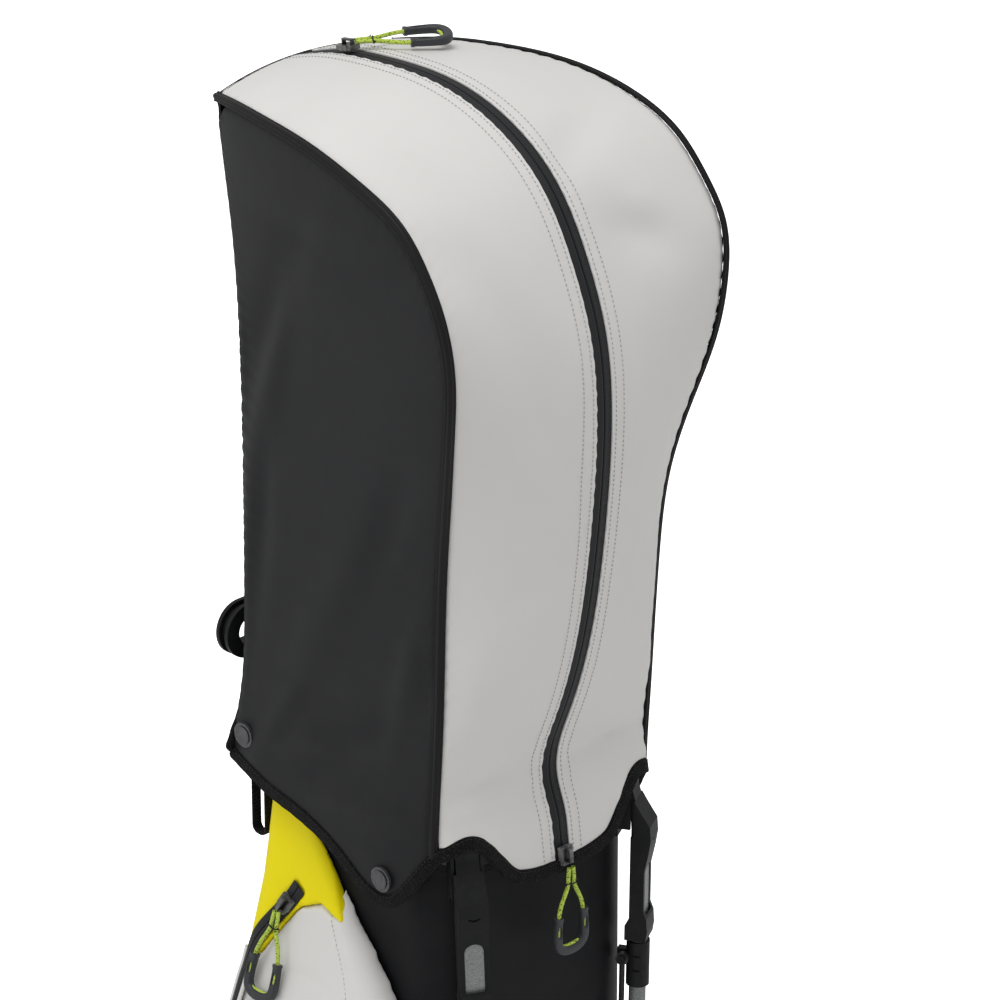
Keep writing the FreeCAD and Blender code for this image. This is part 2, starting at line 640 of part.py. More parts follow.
def hood_side():
    columns = []
    for share in spread(0, 1, 17):
        column = []
        for i in range(FINE - SIDE_SHORT):
            across = B_PTS[i] - S_PTS[i]
            first = seam_gap(S_PTS, i, across, SEAM_SPACE + 0.8) / across.Length
            last = 1 - seam_gap(B_PTS, i, across, HOOD_T + 0.7) / across.Length
            column.append(side_point(i, first + (last - first) * share))
        columns.append(above_edge(column, edge_side(EDGE_CLEAR), 34))
    return skin(columns, HOOD_T)


def hood_back():
    columns = []
    for turn in spread(-1, 1, 21):
        column = []
        share = math.sin(math.pi / 2 * turn)
        for i in range(FINE):
            wide = B_PTS[i].x - 0.6
            column.append(back_point(i, wide * share))
        column[-1] = column[-1] * 0.4 + column[-2] * 0.6
        columns.append(above_edge(column, edge_back(EDGE_CLEAR), 24))
    return skin(columns, HOOD_T)


def edge_of(column, edge):
    return above_edge(column, edge, 2)[0]


def binding_path():
    """The hood's lower edge from the middle of the back round the right side to the front middle."""
    spots = []
    for x in (0.6, 20, 45, 60, 72, 82, 90):
        spots.append(edge_of([back_point(i, min(x, B_PTS[i].x - 1)) for i in range(FINE)], edge_back(0)))
    for share in (0.995, 0.86, 0.7, 0.55, 0.43, 0.34, 0.26, 0.19, 0.12, 0.06):
        spots.append(edge_of([side_point(i, share) for i in range(FINE - SIDE_SHORT)], edge_side(0)))
    for x in (97, 90, 81, 72, 62, 53, 40, 22):
        spots.append(edge_of([front_point(i, min(x, S_PTS[i].x - 1)) for i in range(FINE)], edge_front(0)))
    return spots


def hood():
    front = hood_front()
    save("hood_front_right", front)
    save("hood_front_left", mirror(front))
    side = hood_side()
    save("hood_side_right", side)
    save("hood_side_left", mirror(side))
    save("hood_back", hood_back())
    save("hood_zip_tape", hood_zip_tape())
    foot = EDGE_FRONT[-1][1] + BIND_R + PIPE_R + 1.2
    seam = above_edge(S_PTS, lambda p: foot, 24)
    seam[-1] = seam[-1] * 0.85 + seam[-2] * 0.15
    piping = round_pipe(seam, PIPE_R)
    save("hood_piping", Part.makeCompound([piping, mirror(piping)]))
    right = binding_path()
    middle = edge_of([front_point(i, 0.0) for i in range(FINE)], edge_front(0))
    left = [V(-p.x, p.y, p.z) for p in right[::-1]]
    save("hood_binding", round_pipe(right + [middle] + left, BIND_R))


# ---- snaps ----------------------------------------------------------------------------------
SNAPS = ((-41.0, 786.0), (110.0, 836.0))      # (y, z) of the front and back snaps on the hood's side


def side_x(y, z):
    """Outer face of the hood's side at a place near its lower edge."""
    best, found = 1e9, 0.0
    for i in range(FINE - SIDE_SHORT):
        for share in spread(0, 1, 101):
            p = side_point(i, share)
            off = math.hypot(p.y - y, p.z - z)
            if off < best:
                best, found = off, p.x
    return found


def snaps():
    caps, studs, tabs = [], [], []
    for (y, z), start in zip(SNAPS, (HALF_W + GAP, 92.8)):
        x = side_x(y, z)
        cap = cyl(V(x + 1.1, y, z), V(1, 0, 0), 9.0, 2.0).fuse(cyl(V(x + 3.1, y, z), V(1, 0, 0), 6.5, 0.8))
        caps += [cap, mirror(cap)]
        stud = cyl(V(start, y, z), V(1, 0, 0), 3.6, x - HOOD_T - 1.6 - start)
        if start > HALF_W:
            stud = stud.fuse(cyl(V(start, y, z), V(1, 0, 0), 7.0, 1.2))
        studs += [stud, mirror(stud)]
    y, z = SNAPS[1]
    tab = box(90.4, 92.5, 66, y + 7, z - 11, z + 11).cut(body_plan(0.2, 700, 940))
    tabs = [tab, mirror(tab)]
    save("hood_snap_caps", Part.makeCompound(caps))
    save("snap_studs", Part.makeCompound(studs))
    save("snap_tabs", Part.makeCompound(tabs))


# ---- pockets --------------------------------------------------------------------------------
# each pocket: (height, depth beyond the body, front y, back y) from the top down, built on the +X side
GARMENT = [(800, 1.5, 48, 92), (792, 2.2, 40, 94), (764, 7.0, 20, 95), (735, 13.0, -4, 96), (686, 28.0, -41, 96),
           (641, 46.0, -50, 96), (560, 54.0, -52, 96), (300, 56.0, -52, 96), (180, 52.0, -50, 94),
           (140, 40.0, -46, 90), (120, 20.0, -42, 84)]
BALL = [(440, 14.0, -30, 84), (430, 36.0, -38, 90), (406, 54.0, -44, 92), (390, 58.0, -44, 92),
        (160, 58.0, -44, 92), (142, 50.0, -42, 90), (128, 34.0, -38, 86), (120, 18.0, -32, 80)]
VALUABLES = [(730, 8.0, -4, 76), (720, 20.0, -10, 82), (700, 30.0, -14, 86), (512, 30.0, -14, 86),
             (500, 22.0, -12, 84), (492, 10.0, -6, 78)]
POCKET_R = 20.0


def pocket(levels, inset):
    wires = []
    for z, depth, y0, y1 in levels:
        radius = min(POCKET_R, (depth + 30) / 2.2) - inset
        wires.append(plan(HALF_W - 30, HALF_W + depth - inset, y0 + inset, y1 - inset, radius, z))
    return Part.makeLoft(wires, True, True)


def outline_prism(points_yz):
    """Outline in the YZ plane, extruded outward on the +X side."""
    spots = [V(40, y, z) for y, z in points_yz]
    return Part.Face(Part.makePolygon(spots + spots[:1])).extrude(V(160, 0, 0))


def band(line, half):
    """Outline of a strip of constant width about a line in the YZ plane."""
    first, second = [], []
    for index, (y, z) in enumerate(line):
        before = line[max(index - 1, 0)]
        after = line[min(index + 1, len(line) - 1)]
        dy, dz = after[0] - before[0], after[1] - before[1]
        size = math.hypot(dy, dz)
        first.append((y - dz / size * half, z + dy / size * half))
        second.append((y + dz / size * half, z - dy / size * half))
    return first + second[::-1]


TAPE_HALF = 6.5
GARMENT_ZIP = [(48, 745), (58, 728), (81, 693), (86, 661), (86, 170)]
BALL_ZIP = [(-22, 395), (-22, 160)]
VALUABLES_ZIP = [(2, 696), (2, 512)]
YOKE = [(48, 796), (36, 780), (20, 757), (5, 731), (27, 739), (46, 730), (52, 724), (78, 684), (110, 684),
        (110, 810), (52, 810)]


def pocket_set(name, levels, zip_line, side, yoke=None):
    skin_t = 2.0
    body = body_plan(GAP, 60, 860)
    whole = pocket(levels, 0)
    core = pocket([(z, d, a, b) for z, d, a, b in levels], skin_t)
    shell = whole.cut(core).cut(body)
    tape = shell.common(outline_prism(band(zip_line, TAPE_HALF)))
    room = outline_prism(band(zip_line, TAPE_HALF + 0.3)).cut(pocket(levels, skin_t + 0.3))
    main = whole.cut(body).cut(room)
    pieces = [(name + "_zip_tape", tape)]
    if yoke:
        panel = whole.cut(body).common(outline_prism(yoke)).cut(room)
        main = main.cut(outline_prism(yoke))
        panel_solids = sorted(panel.Solids, key=lambda s: -s.Volume)
        pieces.append((name + "_yoke", panel_solids[0]))
    main_solids = sorted(main.Solids, key=lambda s: -s.Volume)
    pieces.append((name + "_pocket", main_solids[0]))
    for label, piece in pieces:
        save(label, mirror(piece) if side < 0 else piece)


# ---- straps and back ------------------------------------------------------------------------
STRAP_PAD_T = 13.0
LOWER_STRAP = [(118, 321), (115, 300), (107, 262), (BACK + 1.6, 236), (BACK + 1.6, 216)]


def back_pieces():
    wire = plan(-72, 72, 392, 604, 26, 0)
    pad = Part.Face(wire)
    pad.rotate(V(0, 0, 0), V(1, 0, 0), 90)
    pad.translate(V(0, BACK + 10, 0))
    save("hip_pad", pad.extrude(V(0, -(10 - GAP), 0)))
    hub_face = Part.Face(plan(-44, 44, 752, 800, 14, 0))
    hub_face.rotate(V(0, 0, 0), V(1, 0, 0), 90)
    hub_face.translate(V(0, BACK + 8, 0))
    hub = hub_face.extrude(V(0, -(8 - GAP), 0))
    for x in (-26.0, 26.0):
        hub = hub.cut(box(x - 14, x + 14, BACK + 2.6, BACK + 5.4, 740, 776))
    save("strap_hub", hub)
    line = [(119, 690), (131, 640), (139, 580), (142, 510), (139, 440), (131, 380), (119, 330)]
    pads = []
    for side in (1, -1):
        low, high = sorted((side * 6.0, side * 64.0))
        slab = strip(line, STRAP_PAD_T, low, high)
        mask = Part.Face(plan(low, high, 322, 698, 20, 0))
        mask.rotate(V(0, 0, 0), V(1, 0, 0), 90)
        mask.translate(V(0, 170, 0))
        pads.append(slab.common(mask.extrude(V(0, -70, 0))))
    save("strap_pads", Part.makeCompound(pads))
    straps, slides = [], []
    for side in (-1, 1):
        low, high = sorted((side * 14.0, side * 38.0))
        straps.append(strip([(BACK + 4, 774), (BACK + 4.2, 745), (116, 716), (117.5, 699)], 1.8, low, high))
        low, high = sorted((side * 23.0, side * 47.0))
        straps.append(strip(LOWER_STRAP, 1.8, low, high))
        low, high = sorted((side * 20.0, side * 50.0))
        slide = box(low, high, 107.6, 114.4, 268, 292)
        slide.rotate(V(0, 111, 280), V(1, 0, 0), -12)
        low, high = sorted((side * 22.0, side * 48.0))
        slides.append(slide.cut(strip(LOWER_STRAP, 2.8, low, high)))
    save("strap_webbing", Part.makeCompound(straps))
    save("strap_adjusters", Part.makeCompound(slides))
    ring = Part.Face(plan(97.5, 112, 758, 822, 6, 0)).cut(Part.Face(plan(99.1, 110.4, 759.6, 820.4, 4.4, 0)))
    ring.rotate(V(0, 0, 0), V(1, 0, 0), 90)
    ring.rotate(V(0, 0, 0), V(0, 0, 1), 90)
    loop = ring.extrude(V(8, 0, 0))
    loop.translate(V(-93.0 - loop.BoundBox.XMin, 0, 0))
    save("towel_loop", loop)


# ---- sliders and pulls ----------------------------------------------------------------------
def pull_points():
    """Cord from the slider's eye, down one side, through the tab and back up to the eye."""
    return [V(-1.8, 0, -3.0), V(-PULL_W, 0, -PULL_TOP), V(-PULL_W, 0, -PULL_LOW), V(PULL_W, 0, -PULL_LOW),
            V(PULL_W, 0, -PULL_TOP), V(1.8, 0, -3.0)]


def pull_frame(eye, out, down):
    """Placement: local -Z runs down the pull, local -Y points away from the bag."""
    z = V(down).normalize() * -1
    y = V(out).normalize() * -1
    x = y.cross(z).normalize()
    y = z.cross(x).normalize()
    turn = FreeCAD.Matrix(x.x, y.x, z.x, 0, x.y, y.y, z.y, 0, x.z, y.z, z.z, 0, 0, 0, 0, 1)
    return FreeCAD.Placement(V(eye), FreeCAD.Rotation(turn))


def pull_set(name, eye, out, down):
    frame = pull_frame(eye, out, down)
    cord = round_pipe(pull_points(), CORD_R, label=name + "_cord")
    points = [V(-PULL_W, 0, -PULL_TOP - 6), V(-PULL_W, 0, -PULL_LOW), V(PULL_W, 0, -PULL_LOW),
              V(PULL_W, 0, -PULL_TOP - 6)]
    bend = CORD_BEND * 24.0 / 22.0
    tab = round_pipe(points, TAB_R, bend)
    tab = tab.cut(round_pipe(pull_points(), CORD_R + 0.1))
    for label, piece in (("_cord", cord), ("_tab", tab)):
        piece.Placement = frame.multiply(piece.Placement)
        save(name + label, piece)


def slider(base, out, along, lift):
    """Zip slider: a low wedge with a bridge; its foot is `lift` above the tape, `along` is where it points."""
    body = box(-5.5, 5.5, -3.4 - lift, -lift, -6.5, 6.5)
    body = body.cut(box(-6, -4.4, -9, 0, -7, -3)).cut(box(4.4, 6, -9, 0, -7, -3))
    arch = box(-1.5, 1.5, -7.4 - lift, -3.3 - lift, -4.6, 5.0)
    arch = arch.cut(box(-2, 2, -6.0 - lift, -3.4 - lift, -3.3, 3.6))
    body = body.fuse(arch).removeSplitter()
    body.Placement = pull_frame(base, out, along).multiply(body.Placement)
    return body


def with_tongue(body_base, out, along, lift):
    """Slider with a moulded finger tongue in one piece."""
    body = slider(V(0, 0, 0), V(0, -1, 0), V(0, 0, -1), lift)
    tongue = box(-4.5, 4.5, -7.2 - lift, -4.6 - lift, -34, -4.0)
    tongue = tongue.cut(cyl(V(0, -9 - lift, -28), V(0, 1, 0), 2.2, 6))
    body = body.fuse(tongue).removeSplitter()
    body.Placement = pull_frame(body_base, out, along).multiply(body.Placement)
    return body


LOW_ZIP = (V(0, -101.4, 787), V(0, -0.99, -0.15), V(0, -0.15, -0.99))
TOP_ZIP = (V(0, 104, 1310.35), V(0, 0.152, 0.988), V(0, -0.988, 0.152))
GARMENT_Y, GARMENT_Z = 58.0, 728.0


def garment_place():
    """Middle of the garment slider on its tape, the outward way and the way the zip runs."""
    above, below = GARMENT[3], GARMENT[4]
    rate = (below[1] - above[1]) / (above[0] - below[0])
    depth = above[1] + rate * (above[0] - GARMENT_Z)
    along = V(-rate * 44.0, 24.0, -44.0).normalize()
    return V(-HALF_W - depth, GARMENT_Y, GARMENT_Z), V(-1, 0, rate).normalize(), along


def sliders():
    base, out, along = LOW_ZIP
    save("hood_slider_low", slider(base, out, along, 1.2))
    pull_set("hood_low", base + out * 7.6 + along * 3, V(0, -1, 0), V(0, 0, -1))
    base, out, along = TOP_ZIP
    save("hood_slider_top", slider(base, out, along, 0.8))
    pull_set("hood_top", base + out * 6.4 + along * 3, V(0, 0, 1), V(0.86, -0.51, 0))
    base, out, along = garment_place()
    save("garment_slider", slider(base, out, along, 0.8))
    pull_set("garment", base + out * 7.2 + along * 3, out, V(-out.z, 0, out.x))
    x = HALF_W + BALL[3][1]
    save("ball_slider", with_tongue(V(x + 1.0, -22, 380), V(1, 0, 0), V(0, 0, -1), 0.8))
    x = HALF_W + VALUABLES[2][1]
    save("valuables_slider", with_tongue(V(x + 1.0, 2, 680), V(1, 0, 0), V(0, 0, -1), 0.8))


def main():
    base_boot()
    body_shell()
    divider()
    frame_stays()
    screws = lift_handle()
    save("handle_screws", Part.makeCompound(screws))
    legs()
    stand_foot()
    hood()
    snaps()
    pocket_set("garment", GARMENT, GARMENT_ZIP, -1, YOKE)
    pocket_set("ball", BALL, BALL_ZIP, 1)
    pocket_set("valuables", VALUABLES, VALUABLES_ZIP, 1)
    back_pieces()
    sliders()
    base = LEG.Base
    print("leg pivot", base, "hinge axis", LEG.Rotation.multVec(V(0, 1, 0)))
    print("rod eye", LEG.multVec(V(0, ROD_Y, -EYE_DROP)), "rod end", LEG.multVec(V(0, ROD_Y, -EYE_DROP - ROD_LEN)))


main()
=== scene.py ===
import math

import bmesh
import bpy
import numpy as np
from mathutils import Matrix, Vector
from mathutils.bvhtree import BVHTree


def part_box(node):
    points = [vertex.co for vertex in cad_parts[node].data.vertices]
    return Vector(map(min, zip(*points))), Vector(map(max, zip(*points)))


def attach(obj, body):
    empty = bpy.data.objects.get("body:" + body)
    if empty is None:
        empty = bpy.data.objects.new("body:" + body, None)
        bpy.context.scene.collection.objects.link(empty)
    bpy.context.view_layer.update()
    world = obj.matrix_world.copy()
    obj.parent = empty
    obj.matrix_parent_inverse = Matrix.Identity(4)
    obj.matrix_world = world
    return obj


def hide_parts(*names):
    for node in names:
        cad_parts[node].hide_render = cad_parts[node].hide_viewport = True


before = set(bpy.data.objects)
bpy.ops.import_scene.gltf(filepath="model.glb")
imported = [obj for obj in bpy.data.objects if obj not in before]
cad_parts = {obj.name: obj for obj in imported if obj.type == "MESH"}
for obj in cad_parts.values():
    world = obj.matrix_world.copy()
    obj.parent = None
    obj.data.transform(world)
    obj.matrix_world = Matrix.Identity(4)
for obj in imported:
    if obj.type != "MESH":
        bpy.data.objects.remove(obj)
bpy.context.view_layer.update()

bl_info = {
    "name": "Golf Stand Bag",
    "version": (1, 0, 0),
    "blender": (4, 5, 0),
    "location": "3D View > Sidebar > Golf Bag",
    "description": "Covers a packed golf stand bag with cloth, webbing, zips and finishes",
    "category": "Object",
}

MM = 0.001

# ---- sewing pattern of the hood, millimetres, right half ----
FRONT_LINE = [(-105, 758), (-103, 776), (-100, 796), (-97, 816), (-89, 840), (-101, 893), (-123, 968),
              (-134, 1046),
              (-138, 1118), (-132, 1175), (-114, 1223), (-86, 1267), (-44, 1297), (7, 1312), (69, 1313),
              (118, 1307), (151, 1297)]
SEAM_LINE = [(99, -74, 758), (100, -78, 800), (100, -80, 838), (100, -82, 868), (100, -85, 918),
             (101, -88, 976), (104, -94, 1037), (111, -105, 1085), (121, -119, 1138), (125, -124, 1178),
             (128, -118, 1218), (127, -102, 1244), (126, -80, 1267), (125, -40, 1285), (119, 11, 1295),
             (106, 72, 1296), (94, 112, 1293), (80, 147, 1287)]
BACK_SEAM = [(98, 128, 758), (98, 129, 810), (96, 125, 840), (95, 118, 880), (95, 115, 925),
             (95, 114, 965), (95, 113, 1030), (95, 113, 1090), (94, 116, 1150), (91, 125, 1210),
             (86, 138, 1258), (80, 148, 1286)]
BACK_LINE = [(0, 124, 758), (0, 122, 820), (0, 120, 880), (0, 119, 950), (0, 119, 1030), (0, 121, 1110),
             (0, 127, 1180), (0, 138, 1240), (0, 152, 1294)]
EDGE_FRONT = [(0, 776), (30, 778), (50, 784), (65, 807), (74, 817), (82, 820), (90, 817), (99, 808)]
EDGE_SIDE = [(-80, 808), (-67, 786), (-54, 769), (-38, 764), (-20, 770), (0, 784), (20, 793), (47, 799),
             (86, 803), (108, 809), (130, 815)]
EDGE_BACK = [(0, 926), (50, 925), (68, 912), (80, 870), (88, 832), (99, 815)]
FRONT_POWER = [(820, 12.0), (860, 7.0), (920, 4.0), (1000, 2.4)]
SIDE_FULL = [(768, 12.0), (800, 11.0), (850, 6.0), (900, 4.0), (1200, 4.0), (1300, 2.0)]
HOOD_CLOTH = 2.2         # thickness of the hood's coated cloth
ZIP_HALF = 7.6
SEAM_SPACE = 2.7
BIND_R = 3.1

# ---- bag body ----
HALF_W, FRONT, BACK, CORNER_R = 94.0, -86.0, 104.0, 40.0
RIM_FRONT_Z, RIM_BACK_Z, CUFF_DEPTH = 816.0, 876.0, 22.0
BODY_LOW = 64.3

# ---- pockets: (height, depth beyond the body, front y, back y) and the zips (y, z) ----
GARMENT_ZIP = [(48, 745), (58, 728), (81, 693), (86, 661), (86, 170)]
BALL_ZIP = [(-22, 395), (-22, 160)]
VALUABLES_ZIP = [(2, 696), (2, 512)]
YOKE = [(48, 796), (36, 780), (20, 757), (5, 731), (27, 739), (46, 730), (52, 724), (78, 684)]
TAPE_HALF = 6.5

# ---- straps, (y, z) ----
UPPER_STRAP = [(BACK + 4, 774), (BACK + 4.2, 745), (116, 716), (117.5, 699)]
LOWER_STRAP = [(118, 321), (115, 300), (107, 262), (BACK + 1.6, 236), (BACK + 1.6, 216)]


# =============================== geometry helpers ===============================
def resample(points, count):
    """Points at equal distances along a line of points."""
    p = np.asarray(points, float)
    run = np.r_[0, np.cumsum(np.linalg.norm(np.diff(p, axis=0), axis=1))]
    at = np.linspace(0, run[-1], count)
    return np.stack([np.interp(at, run, p[:, k]) for k in range(p.shape[1])], axis=1)


def curve_through(points, count):
    """Evenly spaced points on a smooth curve through the given ones."""
    p = np.asarray(points, float)
    n = len(p)
    t = np.r_[0, np.cumsum(np.linalg.norm(np.diff(p, axis=0), axis=1))]
    h = np.diff(t)
    a = np.zeros((n, n))
    r = np.zeros_like(p)
    a[0, 0] = a[-1, -1] = 1
    for i in range(1, n - 1):
        a[i, i - 1], a[i, i], a[i, i + 1] = h[i - 1], 2 * (h[i - 1] + h[i]), h[i]
        r[i] = 6 * ((p[i + 1] - p[i]) / h[i] - (p[i] - p[i - 1]) / h[i - 1])
    m = np.linalg.solve(a, r)
    out = []
    for i in range(n - 1):
        for s in np.linspace(0, 1, 30, endpoint=i == n - 2):
            x, w = s * h[i], (1 - s) * h[i]
            out.append(m[i] * w ** 3 / (6 * h[i]) + m[i + 1] * x ** 3 / (6 * h[i])
                       + (p[i] / h[i] - m[i] * h[i] / 6) * w + (p[i + 1] / h[i] - m[i + 1] * h[i] / 6) * x)
    return resample(out, count)


def table(rows, at):
    rows = np.asarray(rows, float)
    return np.interp(at, rows[:, 0], rows[:, 1])


def eased(rows, at):
    """The same table with its corners rounded over a few millimetres."""
    return sum(table(rows, at + off) for off in (-7.0, -4.5, -2.0, 0.0, 2.0, 4.5, 7.0)) / 7.0


def unit(v):
    return v / np.maximum(np.linalg.norm(v, axis=-1, keepdims=True), 1e-9)


def mirrored(points):
    return np.asarray(points) * np.array((-1.0, 1.0, 1.0))


def add_piece(name, verts, faces, body, material, slot, nodes=(), uv=None, sharp=0.7, closed=True):
    """A new mesh piece, its points in millimetres, that rides on a body and stands for some CAD nodes."""
    mesh = bpy.data.meshes.new(name)
    mesh.from_pydata((np.asarray(verts, float) * MM).tolist(), [], [list(map(int, f)) for f in faces])
    if uv is not None:
        layer = mesh.uv_layers.new(name="Cloth")
        index = np.zeros(len(mesh.loops), np.int32)
        mesh.loops.foreach_get("vertex_index", index)
        layer.data.foreach_set("uv", (np.asarray(uv, float)[index] * MM).astype(np.float32).ravel())
    mesh.materials.append(material)
    obj = bpy.data.objects.new(name, mesh)
    bpy.context.scene.collection.objects.link(obj)
    if closed:
        work = bmesh.new()
        work.from_mesh(mesh)
        bmesh.ops.recalc_face_normals(work, faces=work.faces)
        work.to_mesh(mesh)
        work.free()
    mesh.shade_smooth()
    if sharp:
        mesh.set_sharp_from_angle(angle=sharp)
    if nodes:
        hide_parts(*nodes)
    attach(obj, body)
    return obj


def grid_faces(nu, nv, offset=0, wrap=False, flip=False):
    faces = []
    for i in range(nu if wrap else nu - 1):
        j = (i + 1) % nu
        for k in range(nv - 1):
            quad = [offset + i * nv + k, offset + j * nv + k, offset + j * nv + k + 1,
                    offset + i * nv + k + 1]
            faces.append(quad[::-1] if flip else quad)
    return faces


def grid_normals(grid, inside):
    """Outward normal of each point of a grid."""
    n = unit(np.cross(np.gradient(grid, axis=0), np.gradient(grid, axis=1)))
    away = np.sum(n * (grid - np.asarray(inside, float)), axis=-1, keepdims=True)
    return np.where(away < 0, -n, n)


def grid_uv(grid):
    """Distance across and along the cloth at each point, measured from the middle of the grid."""
    du = np.linalg.norm(np.diff(grid, axis=0), axis=2)
    dv = np.linalg.norm(np.diff(grid, axis=1), axis=2)
    u = np.concatenate([np.zeros((1, grid.shape[1])), np.cumsum(du, axis=0)], axis=0)
    v = np.concatenate([np.zeros((grid.shape[0], 1)), np.cumsum(dv, axis=1)], axis=1)
    return np.stack([u, v], axis=-1)


def skin_arrays(grid, normals, thick, uv):
    """Closed skin: the grid outside, the same grid moved in on the inside, and the rim between."""
    nu, nv = grid.shape[:2]
    inner = grid - normals * thick
    verts = np.concatenate([grid.reshape(-1, 3), inner.reshape(-1, 3)])
    both = np.concatenate([uv.reshape(-1, 2), uv.reshape(-1, 2)])
    half = nu * nv
    faces = grid_faces(nu, nv) + grid_faces(nu, nv, half, flip=True)
    for k in range(nv - 1):
        faces.append([k, k + 1, half + k + 1, half + k])
        e = (nu - 1) * nv
        faces.append([e + k + 1, e + k, half + e + k, half + e + k + 1])
    for i in range(nu - 1):
        a, b = i * nv, (i + 1) * nv
        faces.append([b, a, half + a, half + b])
        faces.append([a + nv - 1, b + nv - 1, half + b + nv - 1, half + a + nv - 1])
    return verts, faces, both


def sweep_arrays(path, out, section, closed=False, grow=None):
    """A section of (across, outward) points carried along a path whose outward way is `out`."""
    path, out, section = (np.asarray(x, float) for x in (path, out, section))
    if closed:
        tangent = unit(np.roll(path, -1, axis=0) - np.roll(path, 1, axis=0))
    else:
        tangent = unit(np.gradient(path, axis=0))
    across = unit(np.cross(tangent, out))
    out = unit(np.cross(across, tangent))
    size = np.ones(len(path)) if grow is None else np.asarray(grow, float)
    rings = (path[:, None] + across[:, None] * (section[None, :, :1] * size[:, None, None])
             + out[:, None] * (section[None, :, 1:] * size[:, None, None]))
    n, m = rings.shape[:2]
    verts = rings.reshape(-1, 3)
    around = np.r_[0, np.cumsum(np.linalg.norm(np.diff(section, axis=0), axis=1))]
    along = np.r_[0, np.cumsum(np.linalg.norm(np.diff(path, axis=0), axis=1))]
    uv = np.stack(np.meshgrid(along, around, indexing="ij")[::-1], axis=-1).reshape(-1, 2)
    faces = []
    for i in range(n if closed else n - 1):
        j = (i + 1) % n
        for k in range(m):
            l = (k + 1) % m
            faces.append([i * m + k, i * m + l, j * m + l, j * m + k])
    if not closed:
        faces.append(list(range(m))[::-1])
        faces.append([(n - 1) * m + k for k in range(m)])
    return verts, faces, uv


def together(parts):
    """Several (verts, faces, uv) joined into one."""
    verts, faces, uvs, start = [], [], [], 0
    for v, f, uv in parts:
        verts.append(v)
        uvs.append(uv)
        faces += [[i + start for i in face] for face in f]
        start += len(v)
    return np.concatenate(verts), faces, np.concatenate(uvs)


def round_section(radius, count=14):
    a = np.linspace(0, 2 * math.pi, count, endpoint=False)
    return np.stack([np.cos(a) * radius, np.sin(a) * radius], axis=1)


def flat_section(width, thick, corner=None, steps=4):
    """Rounded flat section, (across, outward)."""
    r = min(thick, width) / 2 * 0.98 if corner is None else corner
    points = []
    for cx, cy, start in ((1, 1, 0), (-1, 1, 90), (-1, -1, 180), (1, -1, 270)):
        for s in range(steps + 1):
            a = math.radians(start + 90 * s / steps)
            points.append((cx * (width / 2 - r) + r * math.cos(a), cy * (thick / 2 - r) + r * math.sin(a)))
    return np.array(points)


def stitch_arrays(path, out, pitch=3.2, length=2.3, thick=0.42):
    """A row of thread stitches that lie on a line."""
    path = np.asarray(path, float)
    run = np.linalg.norm(np.diff(path, axis=0), axis=1).sum()
    count = max(int(run / pitch), 2)
    at = np.concatenate([path, np.asarray(out, float)], axis=1)
    dist = np.r_[0, np.cumsum(np.linalg.norm(np.diff(path, axis=0), axis=1))]
    centre = (np.arange(count) + 0.5) * run / count

    def pick(d):
        return np.stack([np.interp(d, dist, at[:, k]) for k in range(6)], axis=1)
    mid = pick(centre)
    way = unit(pick(centre + 0.4)[:, :3] - pick(centre - 0.4)[:, :3])
    up = unit(mid[:, 3:])
    side = unit(np.cross(way, up))
    ring = [(-0.32, 0.85), (0.32, 0.85)]
    verts, faces = [], []
    for c in range(count):
        base = len(verts)
        verts.append(mid[c, :3] - way[c] * length / 2 - up[c] * thick * 0.3)
        for where, size in ring:
            for turn in range(6):
                a = math.radians(60 * turn)
                verts.append(mid[c, :3] + way[c] * where * length + side[c] * math.cos(a) * thick * size
                             + up[c] * (math.sin(a) * thick * size * 0.8 + thick * 0.25))
        verts.append(mid[c, :3] + way[c] * length / 2 - up[c] * thick * 0.3)
        for k in range(6):
            n = (k + 1) % 6
            faces.append([base, base + 1 + n, base + 1 + k])
            faces.append([base + 1 + k, base + 1 + n, base + 7 + n, base + 7 + k])
            faces.append([base + 13, base + 7 + k, base + 7 + n])
    verts = np.array(verts)
    return verts, faces, verts[:, :2] * 1.0


# =============================== finishes ===============================
def new_group(name, inputs, outputs):
    tree = bpy.data.node_groups.new(name, "ShaderNodeTree")
    for label, value in inputs:
        socket = tree.interface.new_socket(label, in_out="INPUT", socket_type="NodeSocketFloat")
        socket.default_value = value
    for label in outputs:
        tree.interface.new_socket(label, in_out="OUTPUT", socket_type="NodeSocketFloat")
    return tree, tree.nodes.new("NodeGroupInput"), tree.nodes.new("NodeGroupOutput")


class Maths:
    """Short way to chain Math nodes in one node tree."""

    def __init__(self, tree):
        self.tree = tree

    def __call__(self, operation, a, b=None, c=None, clamp=False):
        node = self.tree.nodes.new("ShaderNodeMath")
        node.operation = operation
        node.use_clamp = clamp
        for index, value in enumerate((a, b, c)):
            if value is None:
                continue
            if isinstance(value, (int, float)):
                node.inputs[index].default_value = value
            else:
                self.tree.links.new(value, node.inputs[index])
        return node.outputs[0]


